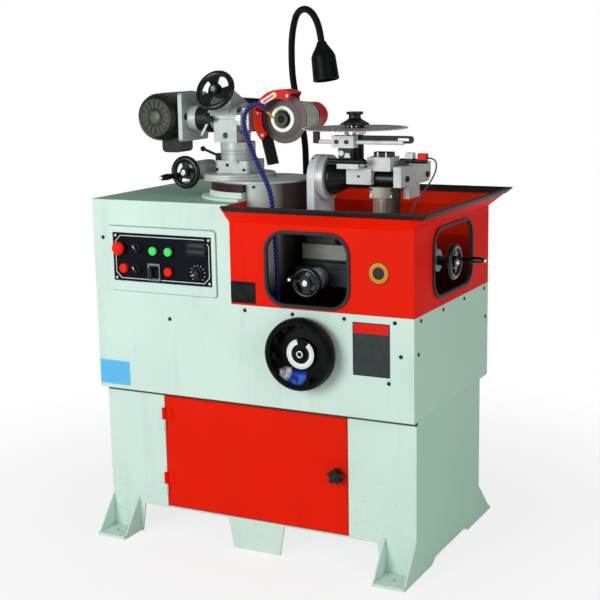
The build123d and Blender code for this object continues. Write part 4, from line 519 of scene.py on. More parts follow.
turnings = {
    "flangeRings": dict(on="wheel_flange", centre=frontSpot(wheelAxis, 0), axis="y", rough=0.34, metal=0.15,
        bands=[(0, "#0e100f"), (20.5, "#2c3a1c"), (22, "#9fc25c"), (25, "#eceee8")]),
    "abrasiveRings": dict(on="grinding_wheel", centre=frontSpot(wheelAxis, 0), axis="y", rough=0.7, metal=0.0,
        grain=420, low=0.6, bump=0.5, bands=[(0, "#766a6c"), (46, "#6e6264"), (50.5, "#776b6e"),
        (61.8, "#a08c68")]),
    "bladeSteel": dict(on="saw_blade", centre=(*bladeAxis, 0), axis="z", rough=0.4, metal=0.25,
        bands=[(0, "#a3928f"), (46, "#ab9a97"), (90, "#988583"), (119, "#b9aaa6")]),
    "motorOlive": dict(on="motor_body", centre=frontSpot(motorAxis, 0), axis="y", rough=0.26, metal=0.1,
        grain=160, low=0.6, bump=0.2, specular=0.3, bands=[(0, "#43453a"), (17, "#34352c"), (24, "#4a4d42"),
        (40, "#3d3f36"), (47.5, "#22231d"), (55, "#21211b")]),
    "discSteel": dict(on="tilt_disc", centre=(0, bladeAxis[1], discHeight), axis="x", rough=0.4, metal=0.25,
        bands=[(0, "#9aa3a4"), (44, "#a9b2b2"), (50, "#c9cfcf")]),
}
dressed = []
for maker, table in ((enamel, enamels), (moulded, mouldings), (casting, castings), (machined, steels),
                     (splitByPlace, splits), (ringed, turnings)):
    for name, look in table.items():
        maker(newMaterial(name), look)
        for node in look.get("on", "").split():
            dressed.append(node)
            for slot in nodes[node].material_slots:
                slot.material = bpy.data.materials[name]
print("finishes:", len(dressed), "nodes dressed")


# Mesh helpers, with places given as a facing and a point
facings = {
    "front": ((1, 0, 0), (0, 0, 1), (0, -1, 0)),
    "right": ((0, 1, 0), (0, 0, 1), (1, 0, 0)),
    "up": ((1, 0, 0), (0, 1, 0), (0, 0, 1)),
    "rear": ((-1, 0, 0), (0, 0, 1), (0, 1, 0)),
    "left": ((0, -1, 0), (0, 0, 1), (-1, 0, 0)),
}
unplaced = Matrix.Identity(4)


def at(point, facing="front", turn=0.0):
    if isinstance(facing, str):
        x, y, z = facings[facing]
    else:
        z = Vector(facing).normalized()
        x = Vector((0, 0, 1)).cross(z) if abs(z.z) < 0.99 else Vector((1, 0, 0))
        x = x.normalized()
        y = z.cross(x)
    return axesMatrix(x, y, z, point) @ Matrix.Rotation(radians(turn), 4, "Z")


def around(count):
    return [(i, (i + 1) % count) for i in range(count)]


def link(name, mesh, finish):
    mesh.materials.clear()
    mesh.materials.append(bpy.data.materials[finish])
    return addObject(name, mesh)


def finishMesh(name, shape, place, finish, sharp=sharpAngle):
    bmesh.ops.recalc_face_normals(shape, faces=shape.faces[:])
    mesh = bpy.data.meshes.new(name)
    shape.to_mesh(mesh)
    shape.free()
    mesh.transform(Matrix.Scale(mm, 4) @ place)
    for face in mesh.polygons:
        face.use_smooth = True
    mesh.set_sharp_from_angle(angle=radians(sharp))
    return link(name, mesh, finish)


def lathe(name, profile, place, finish, segments=48, closed=False):
    shape = bmesh.new()
    rings = []
    for radius, height in profile:
        spots = [(0, 0, height)] if radius < 1e-6 else [(radius * cos(2 * pi * i / segments),
            radius * sin(2 * pi * i / segments), height) for i in range(segments)]
        rings.append([shape.verts.new(spot) for spot in spots])
    if closed:
        rings.append(rings[0])
    for low, high in zip(rings, rings[1:]):
        for i, j in around(segments):
            corners = [low[i % len(low)], low[j % len(low)], high[j % len(high)], high[i % len(high)]]
            corners = list(dict.fromkeys(corners))
            if len(corners) > 2:
                shape.faces.new(corners)
    return finishMesh(name, shape, place, finish)


def roundedBox(width, height, corner, steps=6):
    points = []
    for sx, sy, start in ((1, 1, 0), (-1, 1, 90), (-1, -1, 180), (1, -1, 270)):
        for i in range(steps + 1):
            angle = radians(start + 90 * i / steps)
            points.append((sx * (width / 2 - corner) + corner * cos(angle),
                sy * (height / 2 - corner) + corner * sin(angle)))
    return points


def sectorOutline(inner, outer, start, end, steps):
    angles = [radians(start + (end - start) * i / steps) for i in range(steps + 1)]
    return [(reach * cos(a), reach * sin(a)) for reach, line in ((outer, angles), (inner, angles[::-1]))
        for a in line]


def sheetPiece(name, outline, thick, place, finish, soften=0.3):
    shape = bmesh.new()
    low = [shape.verts.new((x, y, 0)) for x, y in outline]
    high = [shape.verts.new((x, y, thick)) for x, y in outline]
    shape.faces.new(low[::-1])
    top = shape.faces.new(high)
    for i, j in around(len(outline)):
        shape.faces.new((low[i], low[j], high[j], high[i]))
    if soften:
        bmesh.ops.bevel(shape, geom=list(top.edges), offset=soften, segments=2, affect="EDGES")
    return finishMesh(name, shape, place, finish)


def framePiece(name, outer, inner, thick, place, finish):
    outer, inner = roundedBox(*outer), roundedBox(*inner)
    shape = bmesh.new()
    rings = [[shape.verts.new((x, y, z)) for x, y in line] for line, z in ((outer, 0), (outer, thick),
        (inner, thick), (inner, 0))]
    for a, b in zip(rings, rings[1:] + rings[:1]):
        for i, j in around(len(outer)):
            shape.faces.new((a[i], a[j], b[j], b[i]))
    return finishMesh(name, shape, place, finish, 25)


def join(name, parts, finish):
    shape = bmesh.new()
    for part in parts:
        shape.from_mesh(part.data)
        bpy.data.objects.remove(part)
    mesh = bpy.data.meshes.new(name)
    shape.to_mesh(mesh)
    shape.free()
    mesh.set_sharp_from_angle(angle=radians(sharpAngle))
    return link(name, mesh, finish)


# Geometry Nodes trees that repeat one piece
def newTree(name, inputs):
    tree = bench["tree"] = bpy.data.node_groups.new(name, "GeometryNodeTree")
    tree.interface.new_socket("Geometry", in_out="OUTPUT", socket_type="NodeSocketGeometry")
    for label, kind in {"Geometry": "Geometry", "Piece": "Object", **inputs, "Finish": "Material"}.items():
        tree.interface.new_socket(label, in_out="INPUT", socket_type="NodeSocket" + kind)
    return put("NodeGroupInput").outputs


def endTree(start, placing):
    piece = put("GeometryNodeObjectInfo", {"Object": start["Piece"], "As Instance": True}).outputs["Geometry"]
    many = out("GeometryNodeInstanceOnPoints", {"Instance": piece, **placing})
    whole = out("GeometryNodeRealizeInstances", {0: many})
    painted = out("GeometryNodeSetMaterial", {"Geometry": whole, "Material": start["Finish"]})
    put("NodeGroupOutput", {0: painted})
    return bench["tree"]


def makeScatter():
    start = newTree("scatterOnMarks", {"Size": "Float"})
    outward = out("GeometryNodeInputNamedAttribute", {"Name": "outward"}, data_type="FLOAT_VECTOR")
    turned = out("FunctionNodeAlignRotationToVector", {"Vector": outward}, axis="Z")
    size = out("CombineXYZ", {axis: start["Size"] for axis in range(3)})
    return endTree(start, {"Points": start["Geometry"], "Rotation": turned, "Scale": size})


def makeRing():
    start = newTree("ringOfPieces", {"Count": "Int", "Reach": "Float", "Start": "Float", "Step": "Float"})
    index = out("GeometryNodeInputIndex")
    angle = maths("MULTIPLY_ADD", index, start["Step"], start["Start"])
    across, along = (times(maths(kind, angle), start["Reach"]) for kind in ("COSINE", "SINE"))
    spot = out("CombineXYZ", {0: across, 1: along})
    points = out("GeometryNodePoints", {"Count": start["Count"], "Position": spot})
    turn = out("CombineXYZ", {2: angle})
    turned = out("FunctionNodeEulerToRotation", {0: turn})
    return endTree(start, {"Points": points, "Rotation": turned})


def makeBeads():
    start = newTree("beadsOnPath", {"Count": "Int"})
    line = put("GeometryNodeCurveToPoints", {"Curve": start["Geometry"], "Count": start["Count"]}, mode="COUNT")
    return endTree(start, {"Points": line.outputs[0], "Rotation": line.outputs["Rotation"]})


scatterOnMarks, ringOfPieces, beadsOnPath = makeScatter(), makeRing(), makeBeads()


def meshOf(piece):
    bpy.context.view_layer.update()
    return bpy.data.meshes.new_from_object(piece.evaluated_get(bpy.context.evaluated_depsgraph_get()))


def bake(name, base, tree, values, finish, place=unplaced, sharp=sharpAngle):
    modifier = base.modifiers.new("made", "NODES")
    modifier.node_group = tree
    values = {**values, "Finish": bpy.data.materials[finish]}
    for item in tree.interface.items_tree:
        if item.item_type == "SOCKET" and item.in_out == "INPUT" and item.name in values:
            modifier[item.identifier] = values[item.name]
    mesh = meshOf(base)
    bpy.data.objects.remove(base)
    mesh.transform(place)
    mesh.name = name
    mesh.set_sharp_from_angle(angle=radians(sharp))
    return link(name, mesh, finish)


def scatter(name, piece, marks, finish, size=1.0):
    mesh = bpy.data.meshes.new(name + "Marks")
    mesh.from_pydata([[c * mm for c in point] for point, outward in marks], [], [])
    flow = mesh.attributes.new("outward", "FLOAT_VECTOR", "POINT")
    for i, (point, outward) in enumerate(marks):
        flow.data[i].vector = Vector(facings[outward][2] if isinstance(outward, str) else outward)
    return bake(name, addObject(name + "Marks", mesh), scatterOnMarks, {"Piece": piece, "Size": size}, finish)


def ring(name, piece, count, reach, place, finish, start=0.0, step=None):
    base = addObject(name + "Base", bpy.data.meshes.new(name + "Base"))
    place = Matrix.Translation(place.translation * mm) @ place.to_3x3().to_4x4()
    values = {"Piece": piece, "Count": count, "Reach": reach * mm, "Start": radians(start),
        "Step": radians(360 / count if step is None else step)}
    return bake(name, base, ringOfPieces, values, finish, place)


def route(name, points, bevel=0.0):
    curve = bpy.data.curves.new(name, "CURVE")
    curve.dimensions = "3D"
    line = curve.splines.new("NURBS")
    line.points.add(len(points) - 1)
    for spot, point in zip(line.points, points):
        spot.co = [c * mm for c in point] + [1]
    line.order_u = 3
    line.use_endpoint_u = True
    line.resolution_u = 8
    curve.bevel_depth = bevel * mm
    curve.bevel_resolution = 5
    curve.use_fill_caps = bevel > 0
    return addObject(name, curve)


stock = []  # single pieces that the trees repeat; removed at the end


def keepStock(piece):
    stock.append(piece)
    return piece


def ride(piece, body):
    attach(piece, body)


# Pieces from a table, with the settings that they share
def addAll(make, shared, table):
    for name, look in table.items():
        look = {"facing": "front", "turn": 0, **shared, **look}
        place = at(look.pop("spot"), look.pop("facing"), look.pop("turn"))
        body, slot = look.pop("body"), look.pop("slot")
        ride(make(name, place=place, **look), body)


# Beads strung along a spline. The profile's heights are shares of the bead's pitch.
def beaded(name, look, finish, sharp=sharpAngle):
    line = route(name + "Line", look["points"])
    pathMesh = meshOf(line)
    path = [tuple(v.co) for v in pathMesh.vertices]
    bpy.data.meshes.remove(pathMesh)
    length = sum((Vector(b) - Vector(a)).length for a, b in zip(path, path[1:]))
    pitch = length / mm / (look["beads"] - 1)
    profile = [(radius, share * pitch) for radius, share in look["profile"]]
    bead = keepStock(lathe(name + "Bead", profile, unplaced, finish, 20, True))
    made = bake(name, line, beadsOnPath, {"Piece": bead, "Count": look["beads"]}, finish, sharp=sharp)
    return made, path, length


print("helpers and trees made")

# Coolant hose: ball-jointed links on the route's spline
hose = dict(points=[(62, -206, 659), (62, -206, 715), (62, -209, 775), (60, -212, 835), (58, -214, 890),
    (47, -206, 935), (22, -190, 968), (-6, -174, 1002), (-32, -156, 1034), (-54, -139, 1064), (-70, -124, 1096),
    (-68, -115, 1126), (-46, -111, 1144), (-22, -109, 1140), (-9, -107, 1124)], radius=6.5, beads=60,
    profile=[(3, -0.52), (4.2, -0.52), (4.4, -0.44), (5.9, -0.32), (6.5, -0.14), (6.5, 0.08), (6.0, 0.24),
    (5.0, 0.32), (4.4, 0.38), (4.2, 0.52), (3, 0.52)])
hosePiece, hosePath, hoseLength = beaded("hose", hose, "hoseBlue")
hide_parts("coolant_hose")
ride(hosePiece, "cabinet")

# Sensor cable, from the sensor's end down to the gear motor's gland
cable = dict(points=[(397.97, -50, 1011), (413.97, -50, 1011), (422.97, -50, 999), (420.97, -50, 981),
    (411.97, -50, 962), (397.97, -49, 941), (378.97, -48, 915), (359.97, -47, 890), (349.97, -46, 869),
    (340.97, -46, 860), (331.97, -46, 860)], radius=2)
cablePiece = route("cable", cable["points"], cable["radius"])
cablePiece.data.materials.append(bpy.data.materials["cableGrey"])
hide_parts("sensor_cable")
ride(cablePiece, "holder")
print("cords: hose", round(hoseLength, 3), "m")


# Floor, world and lights
floorLook = dict(size=30.0, fadeStart=0.6, fadeEnd=1.6, white=0.8, colour=(0.86, 0.87, 0.87, 1))
worldLook = dict(colour=(0.92, 1.0, 0.97, 1), strength=0.24)
lamps = {
    "key": dict(place=(-1.2, -3.9, 1.7), size=2.0, power=101),
    "fill": dict(place=(3.2, -1.6, 1.9), size=2.0, power=25),
    "over": dict(place=(0.3, 0.2, 3.6), size=1.6, power=4),
}
lampTarget, white = Vector((0, 0, 0.75)), (1, 1, 1, 1)


def makeFloor(look):
    emptyMaterial("studioFloor")
    away = vectors("LENGTH", objectSpot())
    fade = spread(away, look["fadeStart"], look["fadeEnd"], look["white"], 1.0)
    path = put("LightPath").outputs
    seen = maths("MAXIMUM", path["Is Glossy Ray"], path["Is Transmission Ray"])
    seen = maths("MAXIMUM", path["Is Camera Ray"], seen)
    plain = out("BsdfDiffuse", {"Color": look["colour"]})
    glow = out("Emission", {"Color": white, "Strength": 1.0})
    mixed = out("MixShader", {0: times(seen, fade), 1: plain, 2: glow})
    put("OutputMaterial", {0: mixed})
    half = look["size"] / 2
    mesh = bpy.data.meshes.new("studioFloor")
    mesh.from_pydata([(-half, -half, 0), (half, -half, 0), (half, half, 0), (-half, half, 0)], [],
        [(0, 1, 2, 3)])
    link("studioFloor", mesh, "studioFloor")


def makeWorld(look):
    scene.world = bpy.data.worlds.new("studioWorld")
    scene.world.use_nodes = True
    bench["tree"] = scene.world.node_tree
    scene.world.node_tree.nodes.clear()
    path = put("LightPath").outputs
    seen = maths("MAXIMUM", path["Is Camera Ray"], path["Is Transmission Ray"])
    soft = out("Background", {"Color": look["colour"], "Strength": look["strength"]})
    plain = out("Background", {"Color": white, "Strength": 1.0})
    mixed = out("MixShader", {0: seen, 1: soft, 2: plain})
    put("OutputWorld", {0: mixed})


def makeLamp(name, look):
    data = bpy.data.lights.new(name, "AREA")
    data.size = look["size"]
    data.energy = look["power"]
    lamp = addObject(name, data)
    lamp.location = look["place"]
    lamp.rotation_euler = (lampTarget - Vector(look["place"])).to_track_quat("-Z", "Y").to_euler()


makeFloor(floorLook)
makeWorld(worldLook)
for name, look in lamps.items():
    makeLamp(name, look)
print("studio lit")

# Lamp gooseneck: short ribs along its spline, and a base
gooseneck = dict(points=[(-73, 228, 917), (-73, 228, 965), (-75, 228, 1030), (-90, 228, 1100),
    (-105, 228, 1167), (-111, 228, 1212), (-111, 226, 1262), (-107, 222, 1311), (-92, 214, 1360),
    (-73, 203, 1378), (-50, 192, 1383), (-28, 182, 1375), (-9, 174, 1356), (8, 164, 1323), (15, 160, 1284)],
    beads=150, profile=[(5, -0.56), (8.7, -0.56), (9.1, -0.34), (9.3, 0), (9.1, 0.34), (8.7, 0.56), (5, 0.56)],
    base=(-73, 228, 905))
neckTube = beaded("gooseneck", gooseneck, "lampBlack", 60)[0]
neckBase = lathe("neckBase", [(0, 0), (26, 0), (26, 4), (25, 5), (13.5, 11), (12.5, 13), (12, 22), (9.2, 24),
    (0, 24)], at(gooseneck["base"], "up"), "lampBlack")
neckPiece = join("gooseneckPiece", [neckTube, neckBase], "lampBlack")
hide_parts("lamp_gooseneck")
ride(neckPiece, "cabinet")


# Lamp mouth: lens plate, a ring of beads and the rim, placed along the head from its socket
def lensFinish(skin):
    cell = put("TexVoronoi", {"Vector": objectSpot(), "Scale": 150.0}).outputs["Distance"]
    colour = blend(spread(cell, 0.16, 0.24), (0.95, 0.96, 1, 1), (0.02, 0.022, 0.025, 1))
    dress(skin, colour, spread(cell, 0.1, 0.6, 0.1, 0.3), metal=0.2)


lampMouth = dict(socket=10, plate=88.2, beads=90.4, rim=96)
lampTip = Vector(gooseneck["points"][-1])
lampAlong = (lampTip - Vector(gooseneck["points"][-2])).normalized()
lampEnd = lampTip - lampAlong * lampMouth["socket"]
lampPlace = {key: at(lampEnd + lampAlong * lampMouth[key], lampAlong) for key in ("plate", "beads", "rim")}
lensFinish(newMaterial("lampLens"))
lampBead = keepStock(lathe("lampBead", [(0, 0), (4.4, 0), (4.2, 2.2), (2.6, 4.2), (0, 5)], unplaced, "lampLens",
    16))
for made in (
        lathe("lensPlate", [(0, 0), (31.6, 0), (31.6, 1.2), (29, 2.2), (0, 3)], lampPlace["plate"], "lampLens"),
        ring("lensRing", lampBead, 8, 19, lampPlace["beads"], "lampLens"),
        lathe("lampRim", [(32.3, 0), (35.3, 0), (35.5, 3), (35.1, 6), (34.3, 6.5), (32.3, 6.5)],
            lampPlace["rim"], "lampBlack", closed=True)):
    ride(made, "cabinet")
print("lamp made")

# Screws: pan heads on the casing, sunk socket heads on the machined blocks
casingScrew = keepStock(lathe("casingScrew", [(0, -0.4), (5, -0.4), (5, 0.9), (4.2, 2.0), (2.6, 2.5),
    (1.6, 2.5), (1.6, 1.1), (0, 1.1)], unplaced, "screwBlack", 20))
socketScrew = keepStock(lathe("socketScrew", [(0, -0.3), (5, -0.3), (5, 3.2), (4.6, 3.7), (2.5, 3.7),
    (2.4, 3.5), (2.4, 1.2), (0, 1.2)], unplaced, "screwBlack", 18))
casing = dict(
    front=[(-2, 643), (131, 643), (270, 643), (401, 643), (416, 563), (385, 495), (-421, 805), (-224, 603)],
    right=[(-220, 644), (-74, 644), (75, 644), (229, 644), (-236, 566), (240, 566)],
    rear=[(x, z) for x in (-420, -210, 0, 210, 420) for z in (430, 640)],
    left=[(y, z) for y in (-220, 0, 220) for z in (430, 880)])
marks = [((x, casingFront, z), "front") for x, z in casing["front"]]
marks += [((450, y, z), "right") for y, z in casing["right"]]
marks += [((x, -casingFront, z), "rear") for x, z in casing["rear"]]
marks += [((-450, y, z), "left") for y, z in casing["left"]]
ride(scatter("casingScrews", casingScrew, marks, "screwBlack"), "cabinet")

screwLook = dict(piece=socketScrew, finish="screwBlack", facing="front", body="holder", slot="steel")
screwSets = {
    "guideScrews": dict(size=1.05, spots=[(184, -112, 1051), (211, -112, 1051)]),
    "bracketScrews": dict(size=1.5, facing="right", spots=[(345.97, -54.5, 959), (345.97, 80.6, 958.5)]),
    "holderScrews": dict(size=0.6, spots=[(231, -86, 965), (264, -85, 934), (318, -85, 934)]),
    "gearScrews": dict(size=0.7, finish="collarChrome", spots=[(264, -85, 918), (318, -85, 918)]),
    "panelScrews": dict(piece=casingScrew, size=0.8, body="cabinet", finish="borderSilver",
        spots=[(x, panelFront, z) for x in (-379, -99) for z in (703, 813)]),
    "swivelScrews": dict(size=0.8, body="head", slot="grey_cast", spots=[(-137, -96, 985), (-168, -96, 973),
        (-88, -96, 973)]),
    "platePlug": dict(piece=casingScrew, size=1.9, body="tilting_head", slot="cover_black", facing="right",
        spots=[(-268, -80, 1106.8)]),
    "columnPlug": dict(piece=casingScrew, size=0.8, body="cabinet", slot="cover_black",
        facing=(0.248, -0.969, 0), spots=[(-19.2, -170.1, 939)]),
    "guardScrews": dict(piece=casingScrew, size=0.8, body="tilting_head", slot="guard_red", finish="whiteMark",
        spots=[frontSpot(wheelAxis, guardFront, 64, a) for a in (68, 219)]),
}
for name, look in screwSets.items():
    look = screwLook | look
    marks = [(spot, look["facing"]) for spot in look["spots"]]
    ride(scatter(name, look["piece"], marks, look["finish"], look["size"]), look["body"])

# Screws that point away from an axis: chrome dots round the clamp knob as painted glints, and the motor's fan
# cover
glintDotReach, glintDotHeight, fanReach, fanFace, fanLean = 24, 1085.6, 56, -82, -0.35
marks = []
for angle in map(radians, (-112, -84, -58)):
    x, y = cos(angle), sin(angle)
    marks.append(((bladeAxis[0] + glintDotReach * x, bladeAxis[1] + glintDotReach * y, glintDotHeight), (x, y, 0)))
ride(scatter("clampDots", casingScrew, marks, "collarChrome", 0.6), "blade_clamp")
marks = [(frontSpot(motorAxis, fanFace, fanReach, a), (cos(radians(a)), fanLean, sin(radians(a))))
    for a in (45, 135, 225, 315)]
ride(scatter("fanScrews", casingScrew, marks, "screwBlack", 0.7), "tilting_head")
print("screws set")


# Display glass, with two rows of dim figures. Their places are in millimetres.
def displayFinish(skin, upper=(794, 803), lower=(779, 786), across=(-158, -112)):
    spot = objectSpot()
    x, y, z = axesOf(spot)
    rows = plus(*(between(z, start * mm, end * mm) for start, end in (upper, lower)))
    rows = times(rows, between(x, across[0] * mm, across[1] * mm))
    haze = noise(spot, 120, 3)
    colour = blend(times(rows, haze), (0.012, 0.015, 0.018, 1), (0.075, 0.083, 0.09, 1))
    dress(skin, colour, spread(haze, 0.3, 0.7, 0.12, 0.2), specular=0.12)


displayFinish(newMaterial("displayGlass"))


# Bare plates on the casing. box: x0, x1, z0, z1; header: the z where it starts, and its colour
def plateFinish(skin, look, margin=2.5):
    spot = objectSpot()
    x, y, z = axesOf(spot)
    x0, x1, z0, z1 = (v * mm for v in look["box"])
    edge = margin * mm
    inside = times(between(x, x0 + edge, x1 - edge), between(z, z0 + edge, z1 - edge))
    cloud = noise(spot, 60, 4, 0.6)
    face = blend(spread(cloud, 0.4, 0.75, 0, 0.04), look["body"], "#9aa0a0")
    if "header" in look:
        start, code = look["header"]
        face = blend(maths("GREATER_THAN", z, start * mm), face, code)
    dress(skin, blend(inside, look["edge"], face), spread(cloud, 0.3, 0.7, 0.35, 0.5), specular=0.1)


plates = {
    "namePlate": dict(box=(-40, 30, 661, 715), body="#0b0c0d", edge="#0e0f10", corner=1.5),
    "guidePlate": dict(box=(292, 388, 508, 638), body="#343b3c", edge="#2a3132", corner=1.5,
        header=(612, "#e81a06")),
    "bluePlate": dict(box=(-449, -354, 412, 478), body="#62bdf0", edge="#7fcdf6", corner=2),
}
for name, look in plates.items():
    x0, x1, z0, z1 = look["box"]
    plateFinish(newMaterial(name + "Finish"), look)
    place = at(((x0 + x1) / 2, casingFront, (z0 + z1) / 2))
    ride(sheetPiece(name, roundedBox(x1 - x0, z1 - z0, look["corner"]), 0.8, place, name + "Finish"), "cabinet")
print("plates set")

# Frames on the control panel. outer and inner: width, height, corner and its steps
displaySpot = (-136, panelRaised, 790)
addAll(framePiece, dict(body="cabinet"), {
    # painted shade: a thin grey-green frame round the bezel, for its shaded edge
    "frameSeam": dict(outer=(326, 172, 10), inner=(321.6, 167.6, 8), thick=0.4, spot=(-241, casingFront, 753),
        finish="seamGreen", slot="white_paint"),
    "panelBorder": dict(outer=(283, 113, 16, 1), inner=(278.2, 108.2, 14.56, 1), thick=0.5,
        spot=(-239, panelFront, 758), finish="borderSilver", slot="steel"),
    "displayRim": dict(outer=(62, 38, 3), inner=(58.4, 34.4, 2), thick=1.4, spot=displaySpot,
        finish="panelBlack", slot="panel_black"),
    "switchFrame": dict(outer=(37, 45, 2.5), inner=(29.5, 33, 4), thick=1.2, spot=(-262, panelRaised, 723),
        finish="switchGrey", slot="steel"),
})

# Small sheets: display, pointers, front dial, guard marking, the holder's wedge and bands, and red arrows
selectorTurn, speedTurn, guardTurn = 125, 18, 29
mark = dict(thick=0.5, finish="whiteMark", soften=0.1)
selectorMark = dict(outline=roundedBox(9, 2.2, 0.8), turn=selectorTurn, slot="steel")
padBand = roundedBox(4, 12, 0.6)
dialRing = sectorOutline(inner=24, outer=37.2, start=105, end=411, steps=60)
addAll(sheetPiece, mark, {
    "displayWindow": dict(outline=roundedBox(58, 34, 2), thick=0.8, spot=displaySpot, soften=0.3,
        finish="displayGlass", body="cabinet", slot="panel_black"),
    "mode_selectorPointer": dict(**selectorMark, spot=frontSpot((-310, 784), -283.3, 4.5, selectorTurn),
        body="mode_selector"),
    "cycle_selectorPointer": dict(**selectorMark, spot=frontSpot((-313, 729), -283.3, 4.5, selectorTurn),
        body="cycle_selector"),
    "speedPointer": dict(outline=roundedBox(7.5, 2.4, 0.8), spot=frontSpot(speedAxis, -281.3, -5.5, speedTurn),
        turn=speedTurn, body="speed_knob", slot="black_plastic"),
    "dialRing": dict(outline=dialRing, thick=0.8, spot=frontSpot(liftAxis, -289), soften=0.2, body="lift_wheel",
        slot="black_plastic"),
})
addAll(sheetPiece, dict(**mark, body="tilting_head", slot="guard_red"), {
    "guardSlot": dict(outline=roundedBox(50, 13.5, 5.5), thick=0.6, spot=(-21.1, guardFront, 1154.5),
        turn=guardTurn, soften=0.2),
    "guardSlotLine": dict(outline=roundedBox(34, 3.4, 1.6), thick=0.3, spot=(-21.1, guardFront - 0.6, 1154.5),
        turn=guardTurn, soften=0, finish="guardRed"),
    "guardPatch": dict(outline=roundedBox(6, 5, 1), thick=0.4, spot=(-53.5, guardFront, 1117.5), turn=70),
})
addAll(sheetPiece, dict(**mark, body="holder", slot="steel"), {
    "holderWedge": dict(outline=[(-9, -6), (9, -6), (5, 6), (-5, 6)], thick=2.5, spot=(211, -106, 1018),
        soften=0.3, finish="postGrey"),
    "padBand277": dict(outline=padBand, spot=(277, -72, 1018.5)),
    "padBand299": dict(outline=padBand, spot=(299, -72, 1018.5)),
})
addAll(sheetPiece, dict(outline=[(-4.5, -3), (4.5, -3), (0, 6)], thick=0.5, soften=0.1, finish="redMark",
    slot="red_plastic"), {
    "redPointer_tilting_head": dict(spot=(-98.4, -74.3, 1120), facing="right", body="tilting_head"),
    "redPointer_head": dict(spot=(-105, -96, 993.5), body="head"),
    "redPointer_carriage": dict(spot=(103, -80.9, 1005.3), facing=(0, -0.534, 0.845), body="carriage"),
})
print("frames and sheets set")

# Turned pieces: sign discs, hub caps, handle ends, bands, lens, bolt and badge. profile: radius and height
slope, tiltReach, tiltRise = radians(26), 72, 47
tiltAxis = Vector((0, -cos(slope), sin(slope)))
tiltHub = Vector((-168, -50 - tiltReach * cos(slope) + tiltRise * sin(slope),
    tubeHeight + tiltReach * sin(slope) + tiltRise * cos(slope)))
chrome = dict(finish="collarChrome", slot="chrome")
capProfile = [(0, -0.5), (8, -0.5), (8, 2.5), (7, 4.2), (3.2, 4.8), (2.6, 3.6), (0, 3.6)]
tipProfile = [(0, -1.5), (4.6, -1.5), (4.6, 0.4), (3.6, 1.4), (0, 1.8)]
addAll(lathe, dict(spot=(360, casingFront, 758.6), body="cabinet", slot="panel_black"), {
    "signRim": dict(profile=[(0, 0), (27, 0), (27, 0.5), (26.8, 0.6), (0, 0.6)], finish="tickBlack"),
    "signRing": dict(profile=[(0, 0), (25, 0), (25, 0.7), (24.8, 0.8), (0, 0.8)], finish="signOrange"),
    "signCore": dict(profile=[(0, 0), (15, 0), (15, 0.9), (14.8, 1.0), (0, 1.0)], finish="tickBlack"),
})
addAll(lathe, dict(**chrome, profile=capProfile, segments=28), {
    "swivel_wheelCap": dict(spot=frontSpot(swivelAxis, -156), body="swivel_wheel"),
    "tilt_wheelCap": dict(spot=tiltHub + tiltAxis * 10, facing=tiltAxis, body="tilt_wheel"),
    "cross_wheelCap": dict(spot=frontSpot(crossAxis, -228), body="cross_wheel"),
    "long_wheelCap": dict(spot=(476, -50, longHeight), facing="right", body="long_wheel"),
})
addAll(lathe, dict(**chrome, profile=tipProfile, segments=20), {
    "swivel_wheelTip": dict(spot=frontSpot(swivelAxis, -211.6, 35, 196), body="swivel_wheel"),
    "cross_wheelTip": dict(spot=frontSpot(crossAxis, -252.9, 33, 160), body="cross_wheel"),
    "long_wheelTip": dict(spot=(535.6, -13, longHeight), facing="right", body="long_wheel"),
})
addAll(lathe, dict(**chrome, closed=True), {
    "dialHub": dict(profile=[(5.6, 0), (9, 0), (9, 1.2), (8.4, 1.8), (6.2, 1.8), (5.6, 1.2)], segments=28,
        spot=frontSpot(liftAxis, -293), body="lift_wheel"),
    "flangeBand": dict(profile=[(39.5, -6.2), (40.4, -6.2), (40.4, 6.2), (39.5, 6.2)], segments=72,
        spot=(-105.2, -50, tubeHeight), facing="right", body="tilting_head"),
})
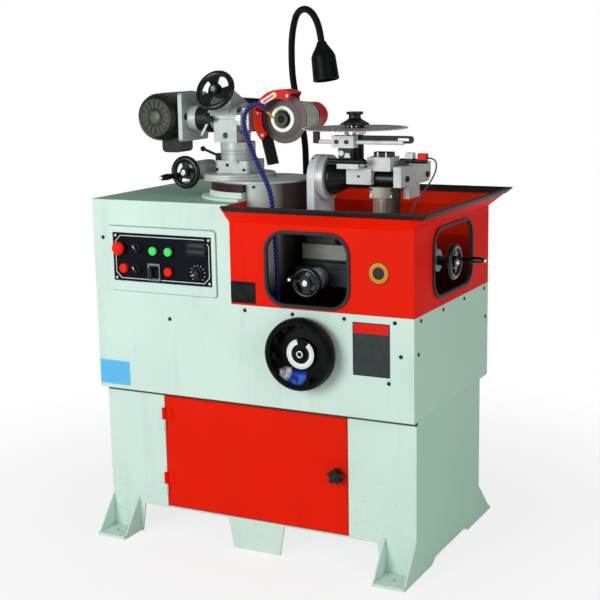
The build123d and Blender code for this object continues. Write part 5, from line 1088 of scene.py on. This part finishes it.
addAll(lathe, {}, {
    "pilotLens": dict(profile=[(0, 0), (12.3, 0), (12.3, 6.4), (11.2, 8.8), (7.5, 10.6), (0, 11.4)],
        spot=(-354, panelFront, 729), finish="stopRed", body="cabinet", slot="red_plastic"),
    "holderBolt": dict(profile=[(0, 0), (7.5, 0), (7.5, 3), (6.2, 4.4), (0, 4.4)], segments=28,
        spot=(195, -106, 1023), finish="postGrey", body="holder", slot="steel"),
    "motorBadge": dict(profile=[(0, 0), (15, 0), (15, 0.8), (14.4, 1.2), (0, 1.2)], segments=36,
        spot=frontSpot(motorAxis, -110), finish="badgeOlive", body="tilting_head", slot="motor_olive"),
})
print("turned pieces set")

# Rings of pieces: graduations, ticks and blade tips
speedTick = keepStock(sheetPiece("dialTick", roundedBox(4, 1.2, 0.4), 0.35, unplaced, "whiteMark", 0.1))
dialLine = keepStock(sheetPiece("dialLine", roundedBox(3, 0.5, 0.2), 0.15, unplaced, "tickBlack", 0))
shortLine = keepStock(sheetPiece("shortLine", roundedBox(0.7, 4.5, 0.1, 1), 0.25, at((0, 0, 0), "right"),
    "tickBlack", 0))
tipShape = keepStock(sheetPiece("bladeTip", [(-3.6, -1.0), (0.4, -1.0), (0.4, 1.3), (-3.6, 1.0)], 2.8,
    at((0, 0, -1.4), "up"), "brightSteel", 0))
addAll(ring, dict(piece=shortLine, finish="tickBlack", facing="right", slot="steel"), {
    "flangeLines": dict(count=72, reach=40.35, spot=(-107, -50, tubeHeight), body="tilting_head"),
    "discLines": dict(count=90, reach=56.95, spot=(125, -50, discHeight), body="holder"),
    "crossLines": dict(count=60, reach=27.95, spot=frontSpot(crossAxis, -158), facing="front",
        body="cross_wheel"),
    "longLines": dict(count=60, reach=27.95, spot=(409, -50, longHeight), body="long_wheel"),
    "baseLines": dict(count=61, reach=96.95, spot=(-130, -50, 957), facing="up", start=-90, step=2,
        body="cabinet"),
    "swivelLines": dict(count=60, reach=45.95, spot=(-130, -50, 1013), facing="up", body="head"),
})
addAll(ring, {}, {
    "speedTicks": dict(piece=speedTick, count=11, reach=20.5, spot=frontSpot(speedAxis, panelFront), start=-45,
        step=27, finish="whiteMark", body="cabinet", slot="panel_black"),
    "dialLines": dict(piece=dialLine, count=50, reach=34.4, spot=frontSpot(liftAxis, -289.8), start=109,
        step=6.08, finish="tickBlack", body="lift_wheel", slot="black_plastic"),
    "bladeTips": dict(piece=tipShape, count=60, reach=131.4, spot=(*bladeAxis, 1081), facing="up", start=0.6,
        finish="brightSteel", body="blade", slot="blade_steel"),
})
print("rings set")

for piece in stock:
    bpy.data.objects.remove(piece)
